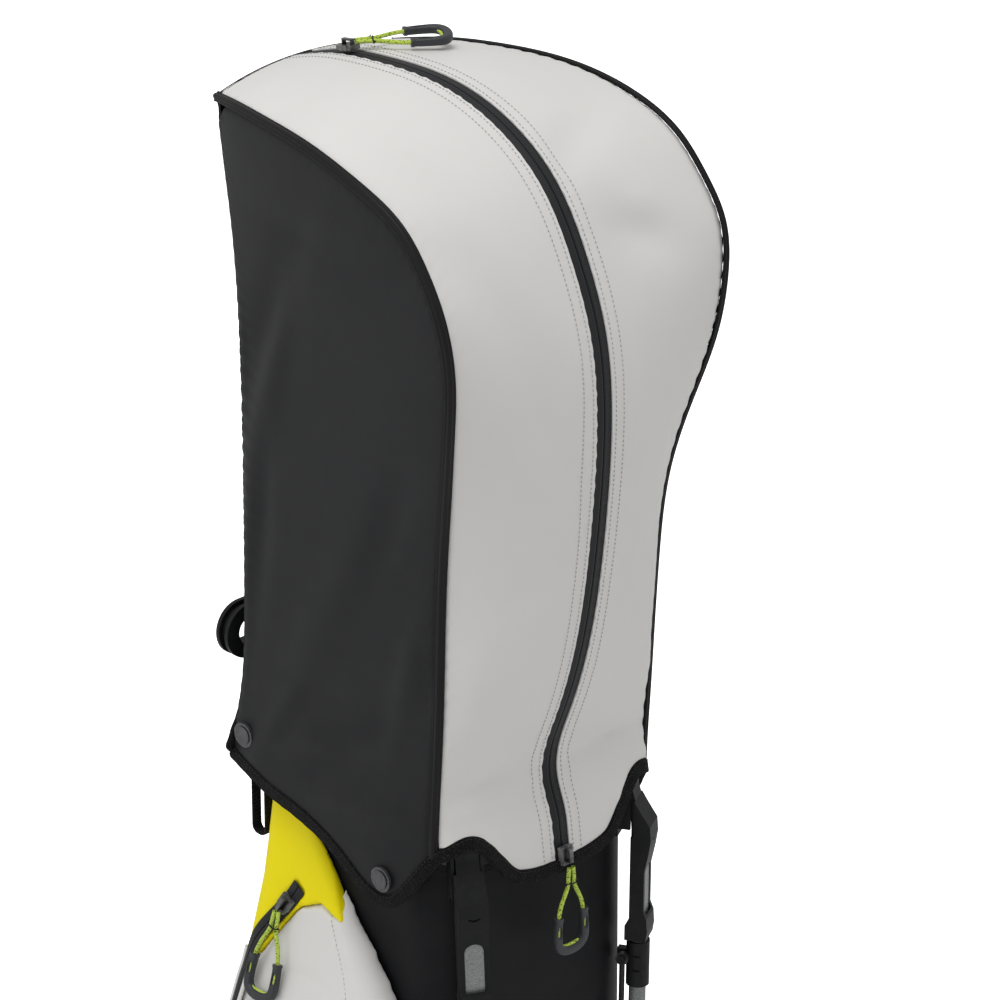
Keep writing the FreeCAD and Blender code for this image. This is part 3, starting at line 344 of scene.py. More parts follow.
def build_grain_group():
    """Pebbled grain of coated cloth or moulded plastic, with slow drifts of tone."""
    tree, given, result = new_group("Surface grain", [("Scale", 900.0), ("Pebble", 0.5)], ["Height", "Tone"])
    links, maths = tree.links, Maths(tree)
    place = tree.nodes.new("ShaderNodeTexCoord")
    fine = tree.nodes.new("ShaderNodeTexNoise")
    fine.inputs["Detail"].default_value = 5.0
    links.new(place.outputs["Object"], fine.inputs["Vector"])
    links.new(given.outputs["Scale"], fine.inputs["Scale"])
    cells = tree.nodes.new("ShaderNodeTexVoronoi")
    links.new(place.outputs["Object"], cells.inputs["Vector"])
    links.new(given.outputs["Scale"], cells.inputs["Scale"])
    slow = tree.nodes.new("ShaderNodeTexNoise")
    slow.inputs["Scale"].default_value = 11.0
    slow.inputs["Detail"].default_value = 4.0
    links.new(place.outputs["Object"], slow.inputs["Vector"])
    pebble = maths("MULTIPLY", cells.outputs["Distance"], given.outputs["Pebble"])
    height = maths("SUBTRACT", fine.outputs["Fac"], pebble)
    links.new(height, result.inputs["Height"])
    links.new(slow.outputs["Fac"], result.inputs["Tone"])
    return tree


def build_weave_group():
    """Threads crossing over and under, counted per metre across and along the cloth."""
    tree, given, result = new_group("Woven threads", [("Across", 900.0), ("Along", 900.0)], ["Height"])
    links, maths = tree.links, Maths(tree)
    place = tree.nodes.new("ShaderNodeTexCoord")
    split = tree.nodes.new("ShaderNodeSeparateXYZ")
    links.new(place.outputs["UV"], split.inputs[0])
    u = maths("MULTIPLY", maths("MULTIPLY", split.outputs[0], given.outputs["Across"]), math.pi)
    v = maths("MULTIPLY", maths("MULTIPLY", split.outputs[1], given.outputs["Along"]), math.pi)
    over = maths("MULTIPLY", maths("SINE", u), maths("SINE", v))
    links.new(maths("ABSOLUTE", over), result.inputs["Height"])
    return tree


def build_wear_group():
    """Where edges and raised spots have rubbed bright."""
    tree, given, result = new_group("Edge wear", [("Amount", 0.5)], ["Mask"])
    links, maths = tree.links, Maths(tree)
    shape = tree.nodes.new("ShaderNodeNewGeometry")
    place = tree.nodes.new("ShaderNodeTexCoord")
    noise = tree.nodes.new("ShaderNodeTexNoise")
    noise.inputs["Scale"].default_value = 160.0
    noise.inputs["Detail"].default_value = 6.0
    links.new(place.outputs["Object"], noise.inputs["Vector"])
    edge = maths("MULTIPLY", maths("SUBTRACT", shape.outputs["Pointiness"], 0.53), 9.0, clamp=True)
    broken = maths("MULTIPLY", edge, maths("MULTIPLY_ADD", noise.outputs["Fac"], 2.2, -0.5, clamp=True))
    links.new(maths("MULTIPLY", broken, given.outputs["Amount"], clamp=True), result.inputs["Mask"])
    return tree


def build_dust_group():
    """Fine dust that settles on faces that look up."""
    tree, given, result = new_group("Settled dust", [("Amount", 0.1)], ["Mask"])
    links, maths = tree.links, Maths(tree)
    shape = tree.nodes.new("ShaderNodeNewGeometry")
    split = tree.nodes.new("ShaderNodeSeparateXYZ")
    links.new(shape.outputs["Normal"], split.inputs[0])
    place = tree.nodes.new("ShaderNodeTexCoord")
    noise = tree.nodes.new("ShaderNodeTexNoise")
    noise.inputs["Scale"].default_value = 45.0
    noise.inputs["Detail"].default_value = 8.0
    links.new(place.outputs["Object"], noise.inputs["Vector"])
    up = maths("MULTIPLY_ADD", split.outputs[2], 0.7, 0.3, clamp=True)
    patch = maths("MULTIPLY_ADD", noise.outputs["Fac"], 2.0, -0.55, clamp=True)
    links.new(maths("MULTIPLY", maths("MULTIPLY", up, patch), given.outputs["Amount"], clamp=True),
              result.inputs["Mask"])
    return tree


def build_fleck_group():
    """Flecks of a second thread or of bright glass beads."""
    tree, given, result = new_group("Flecks", [("Scale", 700.0), ("Share", 0.2)], ["Mask", "Random"])
    links, maths = tree.links, Maths(tree)
    place = tree.nodes.new("ShaderNodeTexCoord")
    cells = tree.nodes.new("ShaderNodeTexVoronoi")
    links.new(place.outputs["Object"], cells.inputs["Vector"])
    links.new(given.outputs["Scale"], cells.inputs["Scale"])
    split = tree.nodes.new("ShaderNodeSeparateColor")
    links.new(cells.outputs["Color"], split.inputs[0])
    links.new(maths("LESS_THAN", split.outputs[0], given.outputs["Share"]), result.inputs["Mask"])
    links.new(split.outputs[1], result.inputs["Random"])
    return tree


GROUPS = {}
FINISHES = {}


def group(name):
    builders = {"grain": build_grain_group, "weave": build_weave_group, "wear": build_wear_group,
                "dust": build_dust_group, "fleck": build_fleck_group}
    if name not in GROUPS:
        GROUPS[name] = builders[name]()
    return GROUPS[name]


def finish(name, colour, rough=0.5, metallic=0.0, specular=0.5, grain=(900.0, 0.5, 0.5), weave=None,
           wear=None,
           dust=0.0, fleck=None, sheen=0.0, coat=0.0, tone=0.12, depth=0.00012):
    """A procedural material. grain is (scale, pebble, share of the bump),
    weave (across, along, share of the bump),
    wear (amount, colour), fleck (scale, share, colour)."""
    if name in FINISHES:
        return FINISHES[name]
    material = bpy.data.materials.new(name)
    material.use_nodes = True
    tree = material.node_tree
    links, maths = tree.links, Maths(tree)
    shader = tree.nodes["Principled BSDF"]
    shader.inputs["Metallic"].default_value = metallic
    shader.inputs["Specular IOR Level"].default_value = specular
    if sheen:
        shader.inputs["Sheen Weight"].default_value = sheen
        shader.inputs["Sheen Roughness"].default_value = 0.45
    if coat:
        shader.inputs["Coat Weight"].default_value = coat
        shader.inputs["Coat Roughness"].default_value = 0.35

    def place(kind, *values):
        node = tree.nodes.new("ShaderNodeGroup")
        node.node_tree = group(kind)
        for socket, value in zip(node.inputs, values):
            socket.default_value = value
        return node

    def blended(mask, first, second):
        node = tree.nodes.new("ShaderNodeMix")
        node.data_type = "RGBA"
        links.new(mask, node.inputs["Factor"])
        for label, value in (("A", first), ("B", second)):
            socket = [s for s in node.inputs if s.name == label and s.type == "RGBA"][0]
            if isinstance(value, tuple):
                socket.default_value = (*value[:3], 1.0)
            else:
                links.new(value, socket)
        return [s for s in node.outputs if s.type == "RGBA"][0]

    surface = place("grain", grain[0], grain[1])
    low = tuple(c * (1 - tone) for c in colour[:3])
    high = tuple(min(c * (1 + tone), 1.0) for c in colour[:3])
    spread_tone = maths("MULTIPLY_ADD", surface.outputs["Tone"], 2.0, -0.5, clamp=True)
    paint = blended(spread_tone, low, high)
    height = maths("MULTIPLY", surface.outputs["Height"], grain[2])
    if weave:
        threads = place("weave", weave[0], weave[1])
        height = maths("MULTIPLY_ADD", threads.outputs["Height"], weave[2], height)
        # painted shade: where the weave is low the colour is darkened to 0.55 times, standing in for the
        # shade between the threads
        painted_gap_shade = maths("MULTIPLY_ADD", threads.outputs["Height"], -1.6, 0.8, clamp=True)
        paint = blended(painted_gap_shade, paint, tuple(c * 0.55 for c in colour[:3]))
    if fleck:
        spots = place("fleck", fleck[0], fleck[1])
        paint = blended(spots.outputs["Mask"], paint, tuple(fleck[2]))
    roughness = maths("MULTIPLY_ADD", surface.outputs["Tone"], 0.16, rough - 0.08, clamp=True)
    if wear:
        rubbed = place("wear", wear[0])
        paint = blended(rubbed.outputs["Mask"], paint, tuple(wear[1]))
        roughness = maths("MULTIPLY_ADD", rubbed.outputs["Mask"], -0.12, roughness, clamp=True)
    if dust:
        settled = place("dust", dust)
        paint = blended(settled.outputs["Mask"], paint, (0.42, 0.40, 0.37))
        roughness = maths("MULTIPLY_ADD", settled.outputs["Mask"], 0.3, roughness, clamp=True)
    links.new(paint, shader.inputs["Base Color"])
    links.new(roughness, shader.inputs["Roughness"])
    bump = tree.nodes.new("ShaderNodeBump")
    bump.inputs["Distance"].default_value = depth
    bump.inputs["Strength"].default_value = 1.0
    links.new(height, bump.inputs["Height"])
    links.new(bump.outputs["Normal"], shader.inputs["Normal"])
    FINISHES[name] = material
    return material


def glitter(name, colour, scale):
    """Silver film full of glass beads: each bead throws back a different amount of light."""
    if name in FINISHES:
        return FINISHES[name]
    material = bpy.data.materials.new(name)
    material.use_nodes = True
    tree = material.node_tree
    links, maths = tree.links, Maths(tree)
    shader = tree.nodes["Principled BSDF"]
    shader.inputs["Metallic"].default_value = 0.35
    beads = tree.nodes.new("ShaderNodeGroup")
    beads.node_tree = group("fleck")
    beads.inputs["Scale"].default_value = scale
    # painted glint: the base colour runs from 0.6 to 1.4 times the silver, one value per bead
    painted_glint_ramp = tree.nodes.new("ShaderNodeValToRGB")
    painted_glint_ramp.color_ramp.elements[0].color = tuple(c * 0.6 for c in colour[:3]) + (1.0,)
    painted_glint_ramp.color_ramp.elements[1].color = tuple(min(c * 1.4, 1.0) for c in colour[:3]) + (1.0,)
    links.new(beads.outputs["Random"], painted_glint_ramp.inputs["Fac"])
    links.new(painted_glint_ramp.outputs["Color"], shader.inputs["Base Color"])
    links.new(maths("MULTIPLY_ADD", beads.outputs["Random"], 0.35, 0.25), shader.inputs["Roughness"])
    bump = tree.nodes.new("ShaderNodeBump")
    bump.inputs["Distance"].default_value = 0.00008
    links.new(beads.outputs["Random"], bump.inputs["Height"])
    links.new(bump.outputs["Normal"], shader.inputs["Normal"])
    FINISHES[name] = material
    return material


def settings():
    return bpy.context.scene.golf_bag


def hood_grey():
    return finish("Coated cloth, warm grey", settings().hood_grey, rough=0.5, specular=0.32,
                  grain=(1500.0, 0.5, 0.5), tone=0.02, depth=0.00007, dust=0.03)


def hood_black():
    return finish("Coated cloth, charcoal", settings().hood_black, rough=0.58, specular=0.16,
                  grain=(1600.0, 0.5, 0.5), tone=0.12, depth=0.00007, dust=0.03, sheen=0.04)


def body_black():
    return finish("Coated cloth, black", settings().body_black, rough=0.5, specular=0.12,
                  grain=(1300.0, 0.6, 0.5), tone=0.12, depth=0.00007, dust=0.03)


def pocket_grey():
    return finish("Pocket cloth, light grey", settings().hood_grey, rough=0.55, specular=0.3,
                  grain=(1200.0, 0.6, 0.5), tone=0.02, depth=0.0001, dust=0.03)


def yoke_yellow():
    return finish("Bonded cloth, yellow", settings().yoke_yellow, rough=0.6, specular=0.22,
                  grain=(520.0, 0.3, 0.6), tone=0.03, depth=0.00018)


def knit_black():
    return finish("Knitted webbing, black", (0.0085, 0.0085, 0.0092), rough=0.9, specular=0.08,
                  grain=(1300.0, 1.0, 0.8), weave=(900.0, 620.0, 1.0),
                  fleck=(1700.0, 0.08, (0.028, 0.028, 0.03)),
                  tone=0.25, depth=0.0005, sheen=0.05)


def strap_black():
    return finish("Strap webbing, black", (0.010, 0.010, 0.011), rough=0.8, specular=0.12,
                  grain=(900.0, 0.4, 0.3), weave=(520.0, 330.0, 1.0), tone=0.2, depth=0.0005, sheen=0.06)


def zip_black():
    return finish("Coated zip tape, black", (0.024, 0.025, 0.027), rough=0.5, specular=0.22,
                  grain=(700.0, 0.3, 0.2), weave=(90.0, 560.0, 0.6), tone=0.1, depth=0.0002,
                  wear=(0.3, (0.06, 0.06, 0.06)))


def piping_black():
    return finish("Piping, black", (0.009, 0.009, 0.010), rough=0.5, specular=0.18,
                  grain=(900.0, 0.4, 0.6), tone=0.1, depth=0.0001)


def pad_black():
    return finish("Air mesh cloth, black", (0.018, 0.018, 0.02), rough=0.85, specular=0.15,
                  grain=(560.0, 1.6, 1.0), tone=0.25, depth=0.0007, fleck=(560.0, 0.12, (0.04, 0.04, 0.042)),
                  sheen=0.05)


def thread(name, colour):
    return finish(name, colour, rough=0.7, specular=0.25, grain=(2500.0, 0.5, 0.6), tone=0.1, depth=0.0001)


def moulded_black(name="Moulded nylon, black"):
    return finish(name, (0.0085, 0.009, 0.010), rough=0.46, specular=0.14, grain=(2600.0, 0.5, 0.5),
                  tone=0.06,
                  depth=0.00004, wear=(0.2, (0.05, 0.05, 0.05)), dust=0.02)


# =============================== hood cloth ===============================
FINE = 170
LINES = {}


def hood_lines():
    if not LINES:
        LINES["front"] = curve_through([(0, y, z) for y, z in FRONT_LINE], FINE)
        LINES["seam"] = curve_through(SEAM_LINE, FINE)
        LINES["back_seam"] = curve_through(BACK_SEAM, FINE)
        LINES["back"] = curve_through(BACK_LINE, FINE)
    return LINES


def front_column(x):
    """Column of points up the front panel, at x for each level (one value or one per level)."""
    lines = hood_lines()
    f, s = lines["front"], lines["seam"]
    x = np.broadcast_to(np.asarray(x, float), (FINE,))
    share = np.abs(x) / s[:, 0]
    bend = share ** table(FRONT_POWER, f[:, 2])
    return np.stack([x, f[:, 1] + (s[:, 1] - f[:, 1]) * bend, f[:, 2] + (s[:, 2] - f[:, 2]) * share ** 2],
                    axis=1)


def side_column(share):
    lines = hood_lines()
    s, b = lines["seam"], lines["back_seam"]
    share = np.broadcast_to(np.asarray(share, float), (FINE,))
    p = s + (b - s) * share[:, None]
    full = table(SIDE_FULL, p[:, 2]) * np.sin(math.pi * share ** 0.6)
    return p + np.stack([full, 0 * full, 0 * full], axis=1)


def back_column(x):
    lines = hood_lines()
    b, k = lines["back_seam"], lines["back"]
    x = np.broadcast_to(np.asarray(x, float), (FINE,))
    share = x / b[:, 0]
    return np.stack([x, k[:, 1] + (b[:, 1] - k[:, 1]) * share ** 2,
                     k[:, 2] + (b[:, 2] - k[:, 2]) * share ** 2], axis=1)


def front_edge(p):
    return eased(EDGE_FRONT, np.abs(p[..., 0]))


def side_edge(p):
    return eased(EDGE_SIDE, p[..., 1])


def back_edge(p):
    return eased(EDGE_BACK, np.abs(p[..., 0]))


def above(column, edge, rise, count):
    """The part of a column above the hood's lower edge, evenly spaced."""
    dense = resample(column, 1200)
    start = int(np.argmax(dense[:, 2] >= edge(dense) + rise))
    return resample(dense[start:], count)


# soft folds: middle point, way it runs, half length, half width, height (minus is a dent), all in mm
FRONT_FOLDS = [((-62, -122, 1180), (0.5, -0.2, -1.0), 85, 22, -3.2),
               ((-84, -100, 1120), (0.2, 0, -1.0), 60, 14, 2.0),
               ((-40, -135, 1105), (0.55, 0, -1.0), 60, 16, -1.6),
               ((60, -112, 1225), (0.8, 0.3, -0.6), 60, 18, -3.4),
               ((85, -95, 1215), (0.6, 0.3, -0.9), 42, 12, 1.8),
               ((50, -60, 1280), (1.0, 0.6, 0.0), 55, 16, -2.0),
               ((70, -105, 1130), (0.3, 0, -1.0), 70, 20, -2.2),
               ((-55, -85, 858), (1.0, 0, 0.14), 46, 6, -1.6),
               ((-52, -85, 842), (1.0, 0, 0.05), 48, 6, 1.5), ((55, -85, 852), (1.0, 0, -0.1), 46, 7, -1.8),
               ((50, -85, 834), (1.0, 0, -0.16), 50, 6, 1.4), ((-60, -90, 905), (0.8, 0, 0.5), 50, 10, -1.4),
               ((62, -92, 930), (0.6, 0, -0.8), 60, 12, 1.6), ((-66, -95, 990), (0.25, 0, 1.0), 80, 13, 1.4),
               ((40, -118, 1040), (0.3, 0, 1.0), 70, 14, -1.5)]
SIDE_FOLDS = [((-104, -55, 1060), (0, 0.5, -0.9), 60, 14, -2.2),
              ((-104, -40, 1150), (0, 0.9, -0.5), 70, 16, -2.0),
              ((-102, 80, 1090), (0, 0.3, -1.0), 110, 14, 2.4),
              ((-102, 60, 1180), (0, 0.5, -0.8), 80, 18, -3.0),
              ((-102, 92, 1000), (0, 0.15, -1.0), 90, 11, -2.0),
              ((-103, 20, 960), (0, 0.5, -0.8), 110, 20, 2.0),
              ((-103, -20, 880), (0, 0.75, -0.6), 80, 14, -2.0),
              ((-103, 30, 860), (0, 0.9, -0.35), 60, 10, 1.6),
              ((-103, -60, 940), (0, 0.3, -1.0), 60, 12, 1.6), ((-104, 75, 860), (0, 0.6, -0.8), 55, 9, 1.6),
              ((-104, 10, 1235), (0, 1.0, -0.15), 60, 12, -1.6),
              ((-104, -15, 830), (0, 1.0, -0.2), 45, 8, 1.4)]
BACK_FOLDS = [((0, 119, 1090), (1.0, 0, 0.1), 60, 16, -3.0), ((10, 120, 980), (1.0, 0, -0.15), 70, 14, 2.6),
              ((-30, 120, 1180), (0.7, 0, 0.7), 50, 14, -2.6), ((35, 120, 1150), (0.7, 0, -0.7), 50, 12, 2.2)]


def folds_at(points, folds, strength):
    total = np.zeros(points.shape[:-1])
    for centre, way, long, wide, high in folds:
        way = np.asarray(way, float) / np.linalg.norm(way)
        off = points - np.asarray(centre, float)
        run = off @ way
        across = np.linalg.norm(off - run[..., None] * way, axis=-1)
        total += high * strength * np.exp(-(run / long) ** 2 - (across / wide) ** 2)
    return total


def seam_ripple(uv, edge_distance, reach, size, wave, phase):
    """Small puckers beside a sewn seam."""
    v = uv[..., 1]
    beat = np.sin(2 * math.pi * v / wave + phase + 1.3 * np.sin(v / 31.0 + phase))
    swell = 0.6 + 0.4 * np.sin(v / 47.0 + 2 * phase)
    return size * beat * swell * np.exp(-edge_distance / reach)


def panel_grid(kind, side):
    """Points of one hood panel on its outer face, before folds."""
    lines = hood_lines()
    if kind == "front":
        grid = []
        wide = lines["seam"][:, 0] - SEAM_SPACE + 0.6
        for n in range(64):
            share = 1 - (1 - n / 63.0) ** 1.25
            column = front_column(ZIP_HALF - 0.4 + (wide - ZIP_HALF + 0.4) * share)
            grid.append(above(column, front_edge, BIND_R, 210))
    elif kind == "side":
        grid = []
        span = np.linalg.norm(lines["back_seam"] - lines["seam"], axis=1)
        first, last = (SEAM_SPACE - 0.6) / span, 1 - 0.5 / span
        for share in np.linspace(0, 1, 76):
            column = side_column(first + (last - first) * share)
            grid.append(above(column[:FINE - 6], side_edge, BIND_R, 190))
    else:
        grid = []
        wide = lines["back_seam"][:, 0] - 0.6
        for share in np.linspace(-1, 1, 80):
            grid.append(above(back_column(wide * share), back_edge, BIND_R, 130))
    grid = np.array(grid)
    return mirrored(grid) if side < 0 else grid


def hood_panel(name, kind, side, material, slot, nodes):
    grid = panel_grid(kind, side)
    inside = (0, 10, 1040)
    normals = grid_normals(grid, inside)
    uv = grid_uv(grid)
    strength = settings().wrinkles
    edge_near = uv[..., 0]
    edge_far = uv[-1:, :, 0] - uv[..., 0]
    low = uv[..., 1]
    high = uv[:, -1:, 1] - uv[..., 1]
    folds = {"front": FRONT_FOLDS, "side": SIDE_FOLDS, "back": BACK_FOLDS}[kind]
    if kind == "side" and side > 0:
        folds = [((-c[0], c[1], c[2]), w, l * 0.9, b * 1.1, h) for c, w, l, b, h in folds]
    push = folds_at(grid, folds, strength)
    quiet = np.clip(np.minimum(edge_near, edge_far) / 9.0, 0, 1) * np.clip(low / 12.0, 0,
                                                                           1) * np.clip(high / 10.0, 0, 1)
    push = push * quiet
    phase = 0.7 * side + {"front": 0.0, "side": 1.9, "back": 3.1}[kind]
    push += strength * seam_ripple(uv, edge_far, 10.0, 0.35, 13.0, phase)
    push += strength * seam_ripple(uv, edge_near, 8.0, 0.3 if kind == "front" else 0.4, 11.0, phase + 1.0)
    push -= 1.3 * np.exp(-(edge_far / 2.6) ** 2)
    if kind != "front":
        push -= 1.3 * np.exp(-(edge_near / 2.6) ** 2)
    verts, faces, both = skin_arrays(grid + normals * push[..., None], normals, HOOD_CLOTH, uv)
    return add_piece(name, verts, faces, "hood", material, slot, nodes, both, sharp=1.0)


def front_line_at(x, count=420, start=BIND_R, lift=0.0):
    """A line up the front panel at a distance from its middle, and the outward way along it."""
    columns = [above(front_column(x + d), front_edge, start, count) for d in (-1.5, 0.0, 1.5)]
    grid = np.array(columns)
    normals = grid_normals(grid, (0, 10, 1040))
    return grid[1] + normals[1] * lift, normals[1]


def build_hood_cloth():
    for label, side in (("right", 1), ("left", -1)):
        hood_panel("hood_front_cloth_" + label, "front", side, hood_grey(), "hood_grey",
                   ["hood_front_" + label])
        hood_panel("hood_side_cloth_" + label, "side", side, hood_black(), "hood_black",
                   ["hood_side_" + label])
    hood_panel("hood_back_cloth", "back", 1, hood_black(), "hood_black", ["hood_back"])


def bead_section():
    """Piping: a round bead with a sewn ridge on each side."""
    points = []
    for cx, r, a0, a1, n in ((2.9, 0.85, -80, 110, 6), (0.0, 2.15, 22, 158, 9), (-2.9, 0.85, 70, 260, 6)):
        for a in np.linspace(math.radians(a0), math.radians(a1), n):
            points.append((cx + r * math.cos(a), r * math.sin(a) + (0.0 if cx == 0 else -0.5)))
    points += [(-1.6, -1.9), (0.0, -2.1), (1.6, -1.9)]
    return np.array(points)


def build_hood_piping():
    lines = hood_lines()
    seam = lines["seam"]
    across_front = np.array([front_column(lines["seam"][:, 0] - 3)[i] for i in range(FINE)])
    across_side = side_column(3.0 / np.linalg.norm(lines["back_seam"] - seam, axis=1))
    inside = np.array((0, 10, 1040.0))
    out = unit(unit(np.cross(across_side - across_front, np.gradient(seam, axis=0))))
    flip = np.sum(out * (seam - inside), axis=1) < 0
    out[flip] *= -1
    both = np.concatenate([seam + out * 0.2, out], axis=1)
    start = int(np.argmax(seam[:, 2] >= EDGE_FRONT[-1][1] + BIND_R + 1.0))
    both = resample(both[start:], 330)
    parts = []
    for side in (1, -1):
        path = both[:, :3] if side > 0 else mirrored(both[:, :3])
        way = both[:, 3:] if side > 0 else mirrored(both[:, 3:])
        parts.append(sweep_arrays(path, way, bead_section()))
    verts, faces, uv = together(parts)
    add_piece("hood_seam_piping", verts, faces, "hood", piping_black(), "hood_black", ["hood_piping"], uv,
              sharp=1.2)
    # the same piping closes the top of the back, where the grey panel meets the back panel
    top = [(x, *front_column(x)[-1][1:]) for x in np.linspace(-76, 76, 40)]
    top = np.array(top) + np.array((0, 0.6, -2.0))
    way = np.tile(np.array((0, 0.75, 0.66)), (40, 1))
    verts, faces, uv = sweep_arrays(top, way, bead_section())
    add_piece("hood_back_piping", verts, faces, "hood", piping_black(), "hood_black", (), uv, sharp=1.2)


def binding_line():
    """The hood's lower edge all the way round, with the way up the cloth at each spot."""
    spots = []

    def take(column, edge):
        dense = above(column, edge, 0.0, 200)
        spots.append(np.concatenate([dense[0], unit(dense[5] - dense[0])]))
    for x in np.linspace(0, 92, 40):
        take(back_column(np.minimum(x, LINES["back_seam"][:, 0] - 1)), back_edge)
    for share in np.linspace(0.995, 0.03, 60):
        take(side_column(share)[:FINE - 6], side_edge)
    for x in np.linspace(98, 0, 50):
        take(front_column(np.minimum(x, LINES["seam"][:, 0] - 1)), front_edge)
    right = np.array(spots)
    flip = np.array((-1, 1, 1, -1, 1, 1.0))
    whole = np.concatenate([right, (right * flip)[::-1][1:-1]])
    # even spacing and a little easing round the corners
    closed = np.concatenate([whole, whole[:1]])
    even = resample(closed, 721)[:-1]
    for _ in range(6):
        even = (np.roll(even, 1, axis=0) + 2 * even + np.roll(even, -1, axis=0)) / 4
    return even


def build_hood_binding():
    hood_lines()
    line = binding_line()
    path, up = line[:, :3], unit(line[:, 3:])
    tangent = unit(np.roll(path, -1, axis=0) - np.roll(path, 1, axis=0))
    out = unit(np.cross(up, tangent))
    middle = path.mean(axis=0) * np.array((1, 1, 0)) + np.array((0, 0, 0))
    flip = np.sum(out * ((path - middle) * np.array((1, 1, 0))), axis=1) < 0
    out[flip] *= -1
    up = unit(up - tangent * np.sum(up * tangent, axis=1, keepdims=True))
    out = unit(np.cross(tangent, up)) * np.sign(np.sum(np.cross(tangent, up) * out, axis=1, keepdims=True))
    section = flat_section(10.4, 4.6, 1.7, 3)
    rings = []
    v = np.r_[0, np.cumsum(np.linalg.norm(np.diff(path, axis=0), axis=1))]
    for s in section:
        lumps = 0.12 * np.sin(v / 2.1 + s[0]) + 0.1 * np.sin(v / 5.3)
        rings.append(path + up * (s[0] + 3.0) + out * (s[1] - 0.9 + np.sign(s[1]) * lumps)[:, None])
    rings = np.array(rings).transpose(1, 0, 2)
    n, m = rings.shape[:2]
    faces = [[i * m + k, i * m + (k + 1) % m, ((i + 1) % n) * m + (k + 1) % m, ((i + 1) % n) * m + k]
             for i in range(n) for k in range(m)]
    around = np.r_[0, np.cumsum(np.linalg.norm(np.diff(section, axis=0), axis=1))]
    uv = np.stack(np.meshgrid(v, around, indexing="ij")[::-1], axis=-1).reshape(-1, 2)
    add_piece("hood_edge_binding", rings.reshape(-1, 3), faces, "hood", knit_black(), "webbing",
              ["hood_binding"], uv,
              sharp=1.2)
    row = stitch_arrays(path + up * 6.3 + out * 1.5, out, 3.4, 2.5, 0.3)
    add_piece("hood_binding_stitching", *row[:2], "hood", thread("Thread, black", (0.03, 0.03, 0.032)),
              "webbing",
              (), None, sharp=0)


# =============================== zips ===============================
def zip_section(half, rise=0.0):
    """Coated reverse coil zip: two flat lips that meet in a narrow groove, over the hidden coil."""
    outer = [(-half, -0.5), (-half, 0.25), (-half + 0.5, 0.5), (-2.9, 0.6), (-2.3, 1.0), (-0.9, 1.05),
             (-0.45, 0.85),
             (-0.18, 0.1), (0.18, 0.1), (0.45, 0.85), (0.9, 1.05), (2.3, 1.0), (2.9, 0.6), (half - 0.5, 0.5),
             (half, 0.25), (half, -0.5), (0, -0.9)]
    return np.array([(a, b + rise) for a, b in outer])


def build_hood_zip():
    path, out = front_line_at(0.0, count=520, start=BIND_R + 0.4)
    verts, faces, uv = sweep_arrays(path - out * 1.5, out, zip_section(ZIP_HALF + 1.0))
    add_piece("hood_zip", verts, faces, "hood", zip_black(), "zip_black", ["hood_zip_tape"], uv, sharp=0.6)
    parts = []
    for x in (ZIP_HALF + 2.6, ZIP_HALF + 10.0, -ZIP_HALF - 2.6, -ZIP_HALF - 10.0):
        line, way = front_line_at(x, count=420, start=BIND_R + 6)
        ease = min((abs(x) - ZIP_HALF + 0.4) / 9.0, 1.0)
        push = folds_at(line, FRONT_FOLDS, settings().wrinkles) * ease + 0.3
        parts.append(stitch_arrays(line + way * push[:, None], way, 3.3, 1.9, 0.36))
    verts, faces, _ = together(parts)
    add_piece("hood_zip_stitching", verts, faces, "hood", thread("Thread, grey", (0.42, 0.42, 0.41)),
              "hood_grey", (), None,
              sharp=0)


# =============================== soft solids ===============================
def coords(mesh):
    co = np.zeros(len(mesh.vertices) * 3)
    mesh.vertices.foreach_get("co", co)
    return co.reshape(-1, 3)


def set_coords(mesh, co):
    mesh.vertices.foreach_set("co", np.asarray(co, np.float32).ravel())
    mesh.update()


def baked(obj):
    """Replace the mesh of obj by what its modifiers make of it."""
    graph = bpy.context.evaluated_depsgraph_get()
    mesh = bpy.data.meshes.new_from_object(obj.evaluated_get(graph))
    obj.modifiers.clear()
    obj.data = mesh
    return obj


def cloth_block(name, node, voxel, shrink=0.0, smooth=3):
    """Even, rounded copy of a soft CAD solid, ready to be blown up."""
    obj = bpy.data.objects.new(name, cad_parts[node].data.copy())
    obj.data.name = name
    bpy.context.scene.collection.objects.link(obj)
    remesh = obj.modifiers.new("Even", "REMESH")
    remesh.mode = "VOXEL"
    remesh.voxel_size = voxel * MM
    ease = obj.modifiers.new("Ease", "SMOOTH")
    ease.factor = 0.5
    ease.iterations = smooth
    baked(obj)
    if shrink:
        normals = np.array([v.normal for v in obj.data.vertices])
        set_coords(obj.data, coords(obj.data) - normals * shrink * MM)
    return obj


